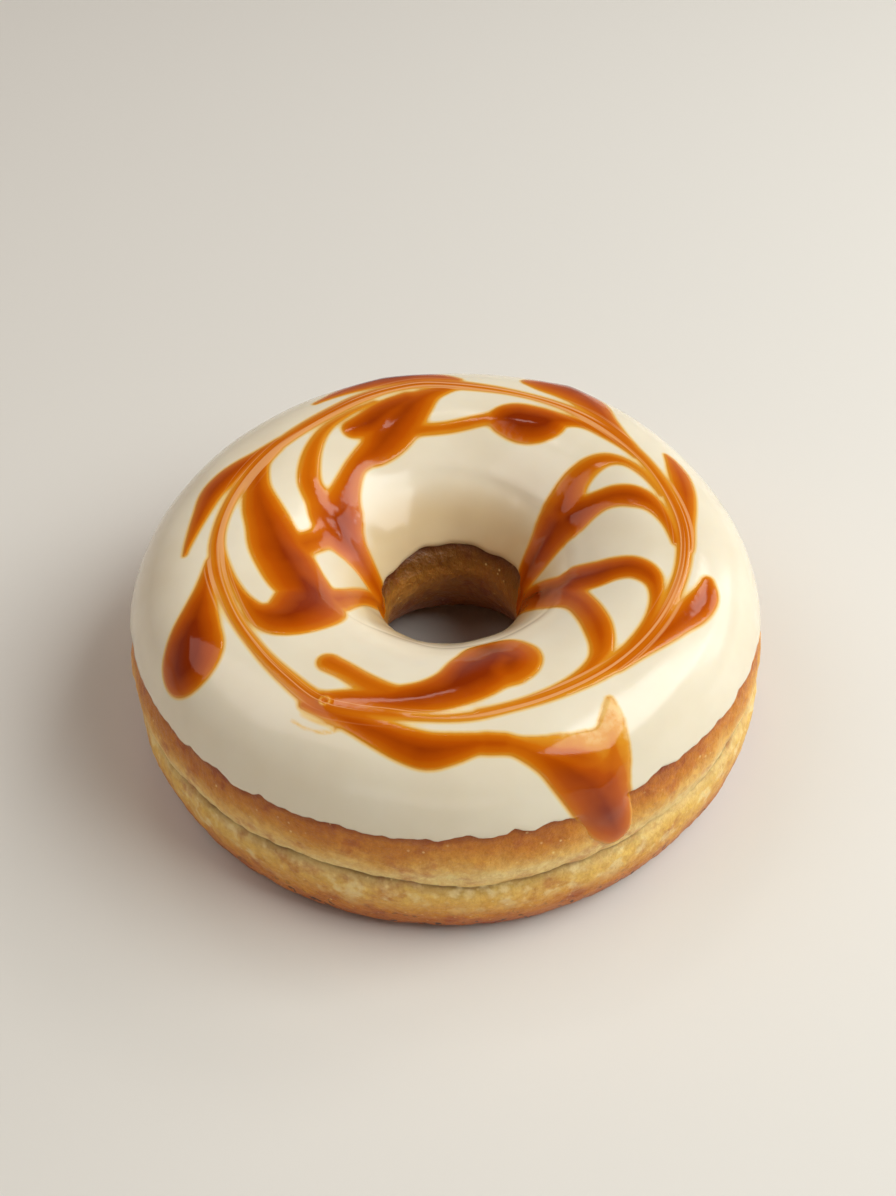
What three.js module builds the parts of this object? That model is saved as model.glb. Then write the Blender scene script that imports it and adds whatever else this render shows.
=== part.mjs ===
// A ring doughnut: one baked dough ring, a shell of set white icing over its top and a
// little way down its hole, and one web of caramel sauce drawn through the wet icing.
// Millimetres, +Z up. The origin is the middle of the underside, on the surface it rests on.
//
// A place on the doughnut is given by its bearing, in degrees anticlockwise from +X seen
// from above, and by its reach, the distance in millimetres along the skin of the ring's
// section, from the narrowest point of the hole (0) over the crown and down the outside.

import * as THREE from 'three';

// ---- Driving dimensions of the iced ring's section ----
const BELLY_RADIUS = 45.0;        // widest point of the outside
const BELLY_HEIGHT = 11.7;
const CROWN_RADIUS = 29.2;        // highest point of the ring
const CROWN_HEIGHT = 32.5;
const WAIST_RADIUS = 9.4;         // narrowest point of the hole
const WAIST_HEIGHT = 15.2;
const BASE_OUTER_RADIUS = 40.5;   // the flat it rests on
const BASE_INNER_RADIUS = 19.7;

// How square each quarter of the section is: 2 is an ellipse, more is squarer.
const SQUARENESS_OUTER_TOP = 2.9;
const SQUARENESS_OUTER_FOOT = 2.33;
const SQUARENESS_HOLE_TOP = 1.73;
const SQUARENESS_HOLE_FOOT = 1.61;

// The hole was cut a little off centre.
const HOLE_SHIFT_X = 0.9;
const HOLE_SHIFT_Y = 1.0;

// ---- Icing and caramel ----
const ICING_INNER_REACH = 4.2;    // edge of the icing in the hole
const ICING_OUTER_REACH = 49.6;   // edge of the icing on the outside
const ICING_CROWN_THICKNESS = 1.6;
const ICING_EDGE_THICKNESS = 0.45;
const ICING_EDGE_RUN = 9.0;       // distance over which the edge fattens
const DOUGH_SHOULDER_RUN = 6.0;   // distance over which bare dough comes up to the full section
const SEAT_GAP = 0.3;             // air left between the layers
const CARAMEL_EDGE_HEIGHT = 0.15;
const CARAMEL_FULL_HEIGHT = 0.85;
const CARAMEL_SHOULDER = 2.2;     // distance in from its edge where caramel is at full height

// ---- Facets ----
const RING_SEGMENTS = 48;
const PROFILE_STEP = 3.2;         // along the dough and the icing
const CARAMEL_BEARINGS = 90;
const CARAMEL_REACH_STEP = 1.9;
const CARAMEL_FIRST_REACH = -3.0;
const CARAMEL_LAST_REACH = 59.5;
const SECTION_SAMPLES = 80;       // points per quarter when the section is measured

const DEGREE = Math.PI / 180;

// ---- Where the caramel was drawn: [bearing, reach, half width] along each stroke ----
const CARAMEL_STROKES = {
  ring: [
    [-180, 30.8, 1.3], [-160, 30.9, 1.3], [-140, 31.7, 1.5], [-120, 33.0, 2.0], [-100, 32.7, 1.3],
    [-80, 32.2, 1.3], [-60, 32.0, 1.3], [-40, 32.0, 1.4], [0, 32.1, 1.3], [40, 32.0, 1.3],
    [70, 32.1, 1.3], [85, 32.9, 1.5], [95, 33.8, 1.3], [110, 32.9, 1.4], [125, 31.0, 1.3],
    [150, 30.5, 1.3], [180, 30.8, 1.3],
  ],
  leftHook: [
    [145, 28.5, 0.8], [155, 27.6, 1.1], [163, 25.7, 2.0], [171, 23.0, 3.4], [180, 20.8, 3.7],
    [190, 17.8, 4.3], [198, 17.0, 4.8], [205, 18.4, 4.7], [211, 21.5, 4.4], [212.3, 25.0, 4.0],
    [209, 27.3, 2.4], [200, 29.0, 1.2], [190, 29.8, 0.8],
  ],
  leftArch: [
    [160, 3.5, 2.2], [172, 3.2, 1.8], [181, 4.0, 1.7], [188, 7.0, 1.6], [195, 10.0, 1.6], [202, 13.5, 1.8],
  ],
  leftStem: [[160, 3.8, 2.0], [157, 7.0, 2.4], [154, 10.5, 3.0], [151, 16.0, 3.8]],
  leftStemTail: [[153, 17.5, 2.6], [147, 21.5, 2.0], [141, 24.0, 1.6], [135, 25.8, 1.4], [120, 30.3, 0.9]],
  backSweep: [
    [148, 17.5, 3.0], [135, 18.2, 2.7], [125, 19.9, 2.0], [115, 21.0, 2.2], [106, 24.5, 3.6],
    [100, 27.5, 3.8], [94, 30.3, 2.6], [89, 32.2, 1.4],
  ],
  backKnuckle: [[118, 26.0, 2.1], [108, 26.5, 3.0]],
  backBridge: [[103, 23.3, 1.3], [85, 23.9, 1.3], [76, 25.3, 1.3], [68, 26.5, 3.3]],
  backDrop: [[68, 26.5, 3.3], [58, 26.2, 3.7], [54, 28.6, 2.0], [46, 30.3, 1.0], [35, 31.0, 0.8]],
  rightStem: [[5, 1.5, 2.0], [8, 4.0, 2.4], [12, 8.0, 2.9], [19, 15.0, 3.7]],
  rightTail: [[18, 17.5, 3.0], [16, 21.0, 2.7], [16, 24.5, 2.9], [13, 27.0, 2.4], [5, 29.4, 1.2]],
  rightFork: [[24, 17.0, 3.2], [30, 19.5, 2.9], [33.5, 24.0, 2.0], [31, 28.0, 1.4], [24, 29.8, 0.9]],
  frontRightStem: [[-10, 2.5, 2.2], [-15, 5.5, 2.6], [-26, 13.0, 3.3], [-25, 17.0, 3.5]],
  frontRightTail: [[-22, 17.5, 3.2], [-16, 22.0, 2.4], [-16, 26.5, 2.3], [-22, 29.3, 1.1], [-30, 30.4, 0.9]],
  frontRightFork: [[-30, 15.5, 3.4], [-38, 22.0, 2.2], [-45, 26.0, 1.6], [-55, 29.0, 0.9], [-63, 30.6, 0.8]],
  frontLobe: [
    [-70, 13.5, 1.9], [-73, 17.0, 2.9], [-77, 23.5, 4.3], [-92, 28.3, 3.0], [-108, 30.5, 2.0], [-117, 32.4, 1.2],
  ],
  frontLobeHeel: [[-72, 22.5, 3.3], [-67, 25.6, 2.4]],
  frontFinger: [[-108, 29.2, 1.4], [-116, 27.6, 1.4], [-124, 26.9, 1.5]],
  frontDrip: [
    [-116, 33.8, 1.2], [-107, 35.0, 1.7], [-95, 36.8, 2.4], [-84, 36.3, 1.4], [-78, 36.6, 1.4],
    [-70, 42.0, 2.0], [-65.5, 47.5, 3.2], [-64.0, 51.5, 3.1], [-62.3, 55.0, 1.6],
  ],
  frontDripArm: [[-63, 47.0, 2.4], [-60, 40.0, 1.5], [-57, 36.4, 1.0]],
  rightLeaf: [[-45, 33.2, 1.0], [-30, 35.0, 1.5], [-24, 36.3, 1.8], [-17, 36.1, 1.0]],
  rightPetal: [[0, 33.2, 1.0], [8, 34.2, 1.2], [20, 36.1, 1.5]],
  backRightLobe: [[37, 33.2, 1.0], [46, 34.9, 1.7], [52, 36.9, 2.9], [57, 39.0, 3.9], [59, 41.0, 3.3]],
  backLobe: [[90, 35.4, 1.2], [95, 36.8, 2.2], [102, 37.4, 3.0], [109, 37.5, 2.3], [115, 36.4, 1.0]],
  backLobeToe: [[103, 38.5, 3.4], [103, 41.0, 2.8]],
  leftTeardrop: [[195, 32.2, 1.0], [204, 35.0, 2.2], [209, 37.2, 4.0], [210, 39.5, 4.1], [209, 41.6, 2.4]],
  backLeftLeaf: [[145, 32.2, 1.0], [157, 34.6, 2.0], [163, 34.6, 1.6], [172, 34.2, 1.0]],
};

// One quarter of the section, from its side point to its top or bottom point.
function quarterPoint(turn, side, end, squareness) {
  const across = Math.cos(turn) ** (2 / squareness);
  const along = Math.sin(turn) ** (2 / squareness);
  return new THREE.Vector2(
    end.x + (side.x - end.x) * across,
    side.y + (end.y - side.y) * along,
  );
}

// The whole skin of the iced ring, from the inner edge of the base, up the hole, over the
// crown and down the outside to the outer edge of the base.
function sectionOutline() {
  const baseInner = new THREE.Vector2(BASE_INNER_RADIUS, 0);
  const waist = new THREE.Vector2(WAIST_RADIUS, WAIST_HEIGHT);
  const crown = new THREE.Vector2(CROWN_RADIUS, CROWN_HEIGHT);
  const belly = new THREE.Vector2(BELLY_RADIUS, BELLY_HEIGHT);
  const baseOuter = new THREE.Vector2(BASE_OUTER_RADIUS, 0);
  const quarters = [
    { side: waist, end: baseInner, squareness: SQUARENESS_HOLE_FOOT, towardsEnd: false },
    { side: waist, end: crown, squareness: SQUARENESS_HOLE_TOP, towardsEnd: true },
    { side: belly, end: crown, squareness: SQUARENESS_OUTER_TOP, towardsEnd: false },
    { side: belly, end: baseOuter, squareness: SQUARENESS_OUTER_FOOT, towardsEnd: true },
  ];
  const outline = [baseInner];
  for (const quarter of quarters) {
    for (let i = 1; i <= SECTION_SAMPLES; i += 1) {
      const share = quarter.towardsEnd ? i / SECTION_SAMPLES : 1 - i / SECTION_SAMPLES;
      outline.push(quarterPoint(share * Math.PI / 2, quarter.side, quarter.end, quarter.squareness));
    }
  }
  return outline;
}

const OUTLINE = sectionOutline();

// The reach of every outline point, measured from the waist.
function outlineReaches() {
  const lengths = [0];
  for (let i = 1; i < OUTLINE.length; i += 1) {
    lengths.push(lengths[i - 1] + OUTLINE[i].distanceTo(OUTLINE[i - 1]));
  }
  const waistLength = lengths[SECTION_SAMPLES];
  return lengths.map((length) => length - waistLength);
}

const REACHES = outlineReaches();
const FIRST_REACH = REACHES[0];
const LAST_REACH = REACHES[REACHES.length - 1];

// The point of the section at a reach, raised off the skin by a lift.
function skinPoint(reach, lift = 0) {
  let i = 1;
  while (i < REACHES.length - 1 && REACHES[i] < reach) {
    i += 1;
  }
  const start = OUTLINE[i - 1];
  const tangent = OUTLINE[i].clone().sub(start).normalize();
  const point = start.clone().addScaledVector(tangent, reach - REACHES[i - 1]);
  point.x -= tangent.y * lift;
  point.y += tangent.x * lift;
  return point;
}

// Moves a point with the hole, fully at the waist and not at all at the belly.
function shiftWithHole(position) {
  const radius = Math.hypot(position.x, position.y);
  const share = THREE.MathUtils.clamp((BELLY_RADIUS - radius) / (BELLY_RADIUS - WAIST_RADIUS), 0, 1);
  position.x += HOLE_SHIFT_X * share;
  position.y += HOLE_SHIFT_Y * share;
  return position;
}

function shiftGeometryWithHole(geometry) {
  const positions = geometry.getAttribute('position');
  const vertex = new THREE.Vector3();
  for (let i = 0; i < positions.count; i += 1) {
    vertex.fromBufferAttribute(positions, i);
    shiftWithHole(vertex);
    positions.setXYZ(i, vertex.x, vertex.y, vertex.z);
  }
  geometry.computeVertexNormals();
  return geometry;
}

// A closed section turned about the vertical axis of the ring. A section is listed up the
// hole and down the outside, and the turned surface faces outwards with the list reversed.
function turnedRing(section) {
  const closed = [section[0].clone(), ...section.toReversed()];
  const geometry = new THREE.LatheGeometry(closed, RING_SEGMENTS);
  geometry.rotateX(Math.PI / 2);
  return shiftGeometryWithHole(geometry);
}

// Evenly spaced reaches between two ends, both included.
function spacedReaches(first, last, step) {
  const count = Math.round((last - first) / step);
  return Array.from({ length: count + 1 }, (_, i) => first + (last - first) * i / count);
}

function icingThickness(reach) {
  const fromEdge = Math.min(reach - ICING_INNER_REACH, ICING_OUTER_REACH - reach);
  const share = THREE.MathUtils.smoothstep(fromEdge, 0, ICING_EDGE_RUN);
  return ICING_EDGE_THICKNESS + (ICING_CROWN_THICKNESS - ICING_EDGE_THICKNESS) * share;
}

// How far the dough lies inside the skin: under the icing by its thickness and the gap, and
// less and less below the icing's edge.
function doughInset(reach) {
  const pastEdge = Math.max(ICING_INNER_REACH - reach, reach - ICING_OUTER_REACH, 0);
  const bareShare = 1 - THREE.MathUtils.smoothstep(pastEdge, 0, DOUGH_SHOULDER_RUN);
  return pastEdge > 0
    ? (ICING_EDGE_THICKNESS + SEAT_GAP) * bareShare
    : icingThickness(reach) + SEAT_GAP;
}

function doughRing() {
  const reaches = spacedReaches(FIRST_REACH, LAST_REACH, PROFILE_STEP);
  const section = reaches.map((reach) => skinPoint(reach, -doughInset(reach)));
  section[0].set(BASE_INNER_RADIUS, 0);
  section[section.length - 1].set(BASE_OUTER_RADIUS, 0);
  return turnedRing(section);
}

function whiteIcing() {
  const reaches = spacedReaches(ICING_INNER_REACH, ICING_OUTER_REACH, PROFILE_STEP);
  const outside = reaches.map((reach) => skinPoint(reach));
  const inside = reaches.map((reach) => skinPoint(reach, -icingThickness(reach)));
  return turnedRing([...outside, ...inside.reverse()]);
}

// Distance from the origin to the segment between two points.
function distanceToSegment(start, end) {
  const run = end.clone().sub(start);
  const share = THREE.MathUtils.clamp(-start.dot(run) / run.lengthSq(), 0, 1);
  return { share, distance: start.addScaledVector(run, share).length() };
}

// How far inside the nearest stroke of caramel a place is: negative where the icing is bare.
function caramelDepth(bearing, reach) {
  const millimetresPerDegree = skinPoint(reach).x * DEGREE;
  const seenFromHere = ([strokeBearing, strokeReach], turn) => new THREE.Vector2(
    (strokeBearing - bearing + turn) * millimetresPerDegree,
    strokeReach - reach,
  );
  let depth = -Infinity;
  for (const stroke of Object.values(CARAMEL_STROKES)) {
    for (const turn of [-360, 0, 360]) {
      for (let i = 1; i < stroke.length; i += 1) {
        const start = seenFromHere(stroke[i - 1], turn);
        const { share, distance } = distanceToSegment(start, seenFromHere(stroke[i], turn));
        const halfWidth = THREE.MathUtils.lerp(stroke[i - 1][2], stroke[i][2], share);
        depth = Math.max(depth, halfWidth - distance);
      }
    }
  }
  return depth;
}

function caramelHeight(depth) {
  const share = Math.min(depth / CARAMEL_SHOULDER, 1);
  return CARAMEL_EDGE_HEIGHT + (CARAMEL_FULL_HEIGHT - CARAMEL_EDGE_HEIGHT) * (1 - (1 - share) ** 2);
}

// A place on the skin in space, at a lift above it.
function placeInSpace(bearing, reach, lift) {
  const point = skinPoint(reach, lift);
  const angle = bearing * DEGREE;
  return shiftWithHole(new THREE.Vector3(point.x * Math.cos(angle), point.x * Math.sin(angle), point.y));
}

// The caramel is a sheet over the skin, cut out where its depth passes through zero. The
// skin is divided into a net of bearings and reaches, and each cell gives one flat polygon.
function caramelDrizzle() {
  const reaches = spacedReaches(CARAMEL_FIRST_REACH, CARAMEL_LAST_REACH, CARAMEL_REACH_STEP);
  const net = reaches.map((reach) => Array.from({ length: CARAMEL_BEARINGS }, (_, column) => {
    const bearing = column * 360 / CARAMEL_BEARINGS;
    return { bearing, reach, depth: caramelDepth(bearing, reach), key: `${column}:${reach}` };
  }));

  const numbers = new Map();
  const places = [];
  const numberOf = (place) => {
    if (!numbers.has(place.key)) {
      numbers.set(place.key, places.length);
      places.push(place);
    }
    return numbers.get(place.key);
  };

  // Where the caramel's edge crosses between a covered place and a bare one.
  const edgePlace = (covered, bare) => {
    const share = THREE.MathUtils.clamp(covered.depth / (covered.depth - bare.depth), 0.15, 0.85);
    const turn = Math.round((bare.bearing - covered.bearing) / 360) * 360;
    return {
      bearing: covered.bearing + (bare.bearing - turn - covered.bearing) * share,
      reach: THREE.MathUtils.lerp(covered.reach, bare.reach, share),
      depth: 0,
      key: `${covered.key}>${bare.key}`,
    };
  };

  const triangles = [];
  const rim = [];
  for (let row = 1; row < net.length; row += 1) {
    for (let column = 0; column < CARAMEL_BEARINGS; column += 1) {
      const next = (column + 1) % CARAMEL_BEARINGS;
      const corners = [net[row - 1][column], net[row][column], net[row][next], net[row - 1][next]];
      const polygon = [];
      corners.forEach((corner, i) => {
        const following = corners[(i + 1) % corners.length];
        if (corner.depth > 0) {
          polygon.push(corner);
        }
        if (corner.depth > 0 !== following.depth > 0) {
          polygon.push(corner.depth > 0 ? edgePlace(corner, following) : edgePlace(following, corner));
        }
      });
      const ring = polygon.map(numberOf);
      for (let i = 2; i < ring.length; i += 1) {
        triangles.push([ring[0], ring[i - 1], ring[i]]);
      }
      ring.forEach((start, i) => {
        const end = ring[(i + 1) % ring.length];
        if (places[start].depth === 0 && places[end].depth === 0) {
          rim.push([start, end]);
        }
      });
    }
  }

  // Upper and lower sheets share the same net; walls close them along the rim.
  const upper = places.map((place) => placeInSpace(
    place.bearing,
    place.reach,
    SEAT_GAP + caramelHeight(place.depth),
  ));
  const lower = places.map((place) => placeInSpace(place.bearing, place.reach, SEAT_GAP));
  const below = (number) => number + places.length;
  const faces = [];
  for (const [a, b, c] of triangles) {
    faces.push(a, b, c, below(a), below(c), below(b));
  }
  for (const [start, end] of rim) {
    faces.push(start, below(start), below(end), start, below(end), end);
  }
  const geometry = new THREE.BufferGeometry();
  geometry.setFromPoints([...upper, ...lower]);
  geometry.setIndex(faces);
  geometry.computeVertexNormals();
  return geometry;
}

function piece(name, geometry, finish) {
  const mesh = new THREE.Mesh(geometry, new THREE.MeshStandardMaterial({ ...finish, metalness: 0 }));
  mesh.name = name;
  return mesh;
}

const doughnut = new THREE.Group();
doughnut.name = 'ring_doughnut';
doughnut.add(
  piece('dough_ring', doughRing(), { color: 0xb8742c, roughness: 0.75 }),
  piece('white_icing', whiteIcing(), { color: 0xe8ddc0, roughness: 0.2 }),
  piece('caramel_drizzle', caramelDrizzle(), { color: 0xa8500c, roughness: 0.12 }),
);

export default doughnut;
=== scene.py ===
"""A ring doughnut, iced in white and marbled with caramel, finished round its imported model.

Three pieces are made, each standing for the plain solid of the same part: the baked ring of
dough, the shell of set icing over it, and the web of caramel drawn through the icing.

A place on the doughnut is a bearing, in degrees anticlockwise from +X seen from above, and a
reach, the distance in millimetres along the skin of the ring's section, from the narrowest
point of the hole, over the crown, down the outside and back along the base. A lift is a
height in millimetres off that skin. A ripple is a wave round the ring: how many crests it
has, how high they are in millimetres, and the angle in radians that it starts at. A span is
where something starts and where it is complete.
"""

import logging
import math
from dataclasses import dataclass
from enum import Enum
from functools import cached_property
from typing import Any, Sequence

import bmesh
import bpy
import numpy as np
from mathutils import Color, Matrix, Vector, noise


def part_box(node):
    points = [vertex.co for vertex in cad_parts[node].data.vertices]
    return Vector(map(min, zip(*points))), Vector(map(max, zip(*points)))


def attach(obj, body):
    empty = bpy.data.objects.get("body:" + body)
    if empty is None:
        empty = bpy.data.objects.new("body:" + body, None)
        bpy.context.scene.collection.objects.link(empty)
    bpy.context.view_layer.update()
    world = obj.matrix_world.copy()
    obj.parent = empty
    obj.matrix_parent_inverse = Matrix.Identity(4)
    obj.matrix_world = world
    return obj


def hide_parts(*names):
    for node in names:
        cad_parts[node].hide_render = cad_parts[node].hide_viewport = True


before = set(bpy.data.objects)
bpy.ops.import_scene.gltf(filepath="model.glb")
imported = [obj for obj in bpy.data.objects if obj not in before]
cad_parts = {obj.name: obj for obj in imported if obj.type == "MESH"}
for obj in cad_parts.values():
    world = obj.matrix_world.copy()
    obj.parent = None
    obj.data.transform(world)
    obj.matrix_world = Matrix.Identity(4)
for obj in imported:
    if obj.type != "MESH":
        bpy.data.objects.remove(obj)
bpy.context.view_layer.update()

log = logging.getLogger("ring_doughnut")

HALF_TURN = 180.0
FULL_TURN = 360.0
QUARTER_ANGLE = math.pi / 2.0
FULL_SHADE = 255.0
TINY = 1e-9

Colour = tuple[float, float, float, float]
Socket = bpy.types.NodeSocket
Reading = tuple[float, float]
Span = tuple[float, float]
StrokePoint = tuple[float, float, float]
Ripple = tuple[int, float, float]
Pit = tuple[float, float, float]


def pigment(red: int, green: int, blue: int) -> Colour:
    """Turns a colour, given from 0 to 255, into the scene's linear and opaque colour."""
    shade = Color((red / FULL_SHADE, green / FULL_SHADE, blue / FULL_SHADE))
    return (*shade.from_srgb_to_scene_linear(), 1.0)


def eased(value: np.ndarray | float, low: float, high: float) -> np.ndarray:
    """Rises smoothly from 0 at low to 1 at high, and stays level outside them."""
    share = np.clip((np.asarray(value, dtype=float) - low) / (high - low), 0.0, 1.0)
    return share * share * (3.0 - 2.0 * share)


def hump(offset: np.ndarray, half_width: float) -> np.ndarray:
    """Rises to 1 where the offset is 0, and dies away past the half width."""
    return np.exp(-(offset / half_width) ** 2)


def ripples(angle: np.ndarray, waves: Sequence[Ripple]) -> np.ndarray:
    """Adds up ripples at angles round the ring, given in radians."""
    return sum(size * np.sin(count * angle + start) for count, size, start in waves)


def turned_to(bearing: np.ndarray | float, middle: float) -> np.ndarray:
    """Gives the same bearings as numbers within half a turn of a middle bearing."""
    offset = np.asarray(bearing, dtype=float) - middle + HALF_TURN
    return middle + np.mod(offset, FULL_TURN) - HALF_TURN


@dataclass(frozen=True)
class Places:
    """Places on the doughnut's skin, each with its bearing and its reach."""

    bearing: np.ndarray
    reach: np.ndarray

    @property
    def angle(self) -> np.ndarray:
        """The bearings in radians."""
        return np.radians(self.bearing)

    def past(self, bearing: float) -> np.ndarray:
        """Gives how many degrees each place lies past a bearing, within half a turn of it."""
        return turned_to(self.bearing, bearing) - bearing

    def some(self, chosen: np.ndarray) -> "Places":
        """Picks out some of the places by their indices."""
        return Places(self.bearing[chosen], self.reach[chosen])


def spaced(first: float, last: float, step: float) -> list[float]:
    """Gives evenly spaced numbers from first up to last, about a step apart, without last."""
    count = max(1, round((last - first) / step))
    return [first + (last - first) * i / count for i in range(count)]


class Richness(Enum):
    """How dark a stroke of caramel sets, as a share of its depth."""

    FILM = 0.05
    AMBER = 0.62
    BROWN = 0.95
    DARK = 1.3


@dataclass(frozen=True)
class RingSection:
    """The section of the iced ring: four rounded quarters and the flat base.

    The quarters meet at the waist of the hole, the crown and the belly. Squareness 2 gives
    an ellipse, and more is squarer. Sizes are in millimetres on a 90 mm doughnut, and unit
    is the length of one of them in metres on this one.
    """

    belly_radius: float = 45.0
    belly_height: float = 11.7
    crown_radius: float = 29.2
    crown_height: float = 32.5
    waist_radius: float = 9.4
    waist_height: float = 15.2
    base_outer_radius: float = 40.5
    base_inner_radius: float = 19.7
    outer_top_squareness: float = 2.9
    outer_foot_squareness: float = 2.33
    hole_top_squareness: float = 1.73
    hole_foot_squareness: float = 1.61
    samples: int = 160
    unit: float = 0.001
    ground: float = 0.0

    @classmethod
    def from_frame(cls) -> "RingSection":
        """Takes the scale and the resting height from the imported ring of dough."""
        low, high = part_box("dough_ring")
        return cls(unit=(high[0] - low[0]) / (2.0 * cls.belly_radius), ground=low[2])

    def _quarter(self, side: Reading, end: Reading, squareness: float) -> np.ndarray:
        """Works out one quarter of the section.

        Args:
            side: Radius and height of its side point.
            end: Radius and height of its top or bottom point.
            squareness: How square its corner is.

        Returns:
            Its points from the side to the end, one row each.
        """
        turn = np.linspace(0.0, QUARTER_ANGLE, self.samples)
        across = np.cos(turn).clip(0.0) ** (2.0 / squareness)
        along = np.sin(turn).clip(0.0) ** (2.0 / squareness)
        radius = end[0] + (side[0] - end[0]) * across
        height = side[1] + (end[1] - side[1]) * along
        return np.stack([radius, height], axis=1)

    @cached_property
    def outline(self) -> np.ndarray:
        """The closed outline, from the base's inner edge up the hole and back to it.

        Returns:
            Its points, a radius and a height in each row.
        """
        waist = (self.waist_radius, self.waist_height)
        belly = (self.belly_radius, self.belly_height)
        crown = (self.crown_radius, self.crown_height)
        base_inner = (self.base_inner_radius, 0.0)
        base_outer = (self.base_outer_radius, 0.0)
        hole_foot = self._quarter(waist, base_inner, self.hole_foot_squareness)[::-1]
        hole_top = self._quarter(waist, crown, self.hole_top_squareness)[1:]
        outer_top = self._quarter(belly, crown, self.outer_top_squareness)[::-1][1:]
        outer_foot = self._quarter(belly, base_outer, self.outer_foot_squareness)[1:]
        base = np.linspace(base_outer, base_inner, self.samples)[1:]
        return np.concatenate([hole_foot, hole_top, outer_top, outer_foot, base])

    @cached_property
    def reaches(self) -> np.ndarray:
        """The reaches of the outline's points.

        Returns:
            One reach for each point, 0 at the waist and negative below it.
        """
        steps = np.linalg.norm(np.diff(self.outline, axis=0), axis=1)
        lengths = np.concatenate([[0.0], np.cumsum(steps)])
        return lengths - lengths[self.samples - 1]

    @cached_property
    def normals(self) -> np.ndarray:
        """The outward directions of the outline.

        Returns:
            One direction for each point, along the radius and upwards.
        """
        tangent = np.gradient(self.outline, self.reaches, axis=0)
        tangent /= np.linalg.norm(tangent, axis=1, keepdims=True)
        return np.stack([-tangent[:, 1], tangent[:, 0]], axis=1)

    @property
    def first_reach(self) -> float:
        """The reach of the base's inner edge, counted down the hole."""
        return float(self.reaches[0])

    @property
    def last_reach(self) -> float:
        """The reach of the base's inner edge again, counted round the outside."""
        return float(self.reaches[-1])

    @property
    def base_reach(self) -> float:
        """The reach of the base's outer edge."""
        return self.last_reach - (self.base_outer_radius - self.base_inner_radius)

    def radius_at(self, reach: np.ndarray) -> np.ndarray:
        """Gives the radius of the skin at each reach."""
        return np.interp(reach, self.reaches, self.outline[:, 0])

    def skin(self, reach: np.ndarray, lift: np.ndarray | float) -> tuple[np.ndarray, np.ndarray]:
        """Finds places of the section.

        Args:
            reach: Their reaches.
            lift: Their lifts off the skin.

        Returns:
            Their radii and their heights.
        """
        height = np.interp(reach, self.reaches, self.outline[:, 1])
        outwards = np.interp(reach, self.reaches, self.normals[:, 0])
        upwards = np.interp(reach, self.reaches, self.normals[:, 1])
        return self.radius_at(reach) + lift * outwards, height + lift * upwards


@dataclass(frozen=True)
class Handwork:
    """How the ring departs from a true circle: it was cut, proved and turned by hand.

    Each swell is a number of bulges round the ring and the shares of the radius that they
    add along their cosine and their sine. The hole shifts as a whole, in millimetres.
    """

    section: RingSection
    hole_shift_x: float = 0.9
    hole_shift_y: float = 1.0
    swells: tuple[tuple[int, float, float], ...] = (
        (2, 0.0049, -0.0013),
        (3, -0.0049, -0.0028),
        (4, 0.0004, -0.0031),
        (5, 0.0025, -0.0049),
        (6, 0.0022, -0.0007),
    )

    def place(self, at: Places, lift: np.ndarray | float) -> np.ndarray:
        """Puts places of the doughnut in space, none of them below the ground.

        Args:
            at: The places.
            lift: Their lifts off the skin.

        Returns:
            Their positions in metres, one row each.
        """
        section = self.section
        radius, height = section.skin(at.reach, lift)
        angle = at.angle
        span = section.belly_radius - section.waist_radius
        hole_share = np.clip((section.belly_radius - radius) / span, 0.0, 1.0)
        swell = sum(c * np.cos(m * angle) + s * np.sin(m * angle) for m, c, s in self.swells)
        radius = radius * (1.0 + swell * (1.0 - hole_share))
        x = radius * np.cos(angle) + self.hole_shift_x * hole_share
        y = radius * np.sin(angle) + self.hole_shift_y * hole_share
        z = np.maximum(height, 0.0)
        return np.stack([x, y, z], axis=1) * section.unit + (0.0, 0.0, section.ground)


def put_in_scene(
    name: str, bm: bmesh.types.BMesh, material: bpy.types.Material
) -> bpy.types.Object:
    """Adds a finished mesh to the scene and frees it.

    Args:
        name: The object's name.
        bm: Its mesh.
        material: Its finish.

    Returns:
        The new object, at the origin.
    """
    mesh = bpy.data.meshes.new(name)
    bm.to_mesh(mesh)
    bm.free()
    mesh.materials.append(material)
    thing = bpy.data.objects.new(name, mesh)
    bpy.context.scene.collection.objects.link(thing)
    return thing


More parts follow.
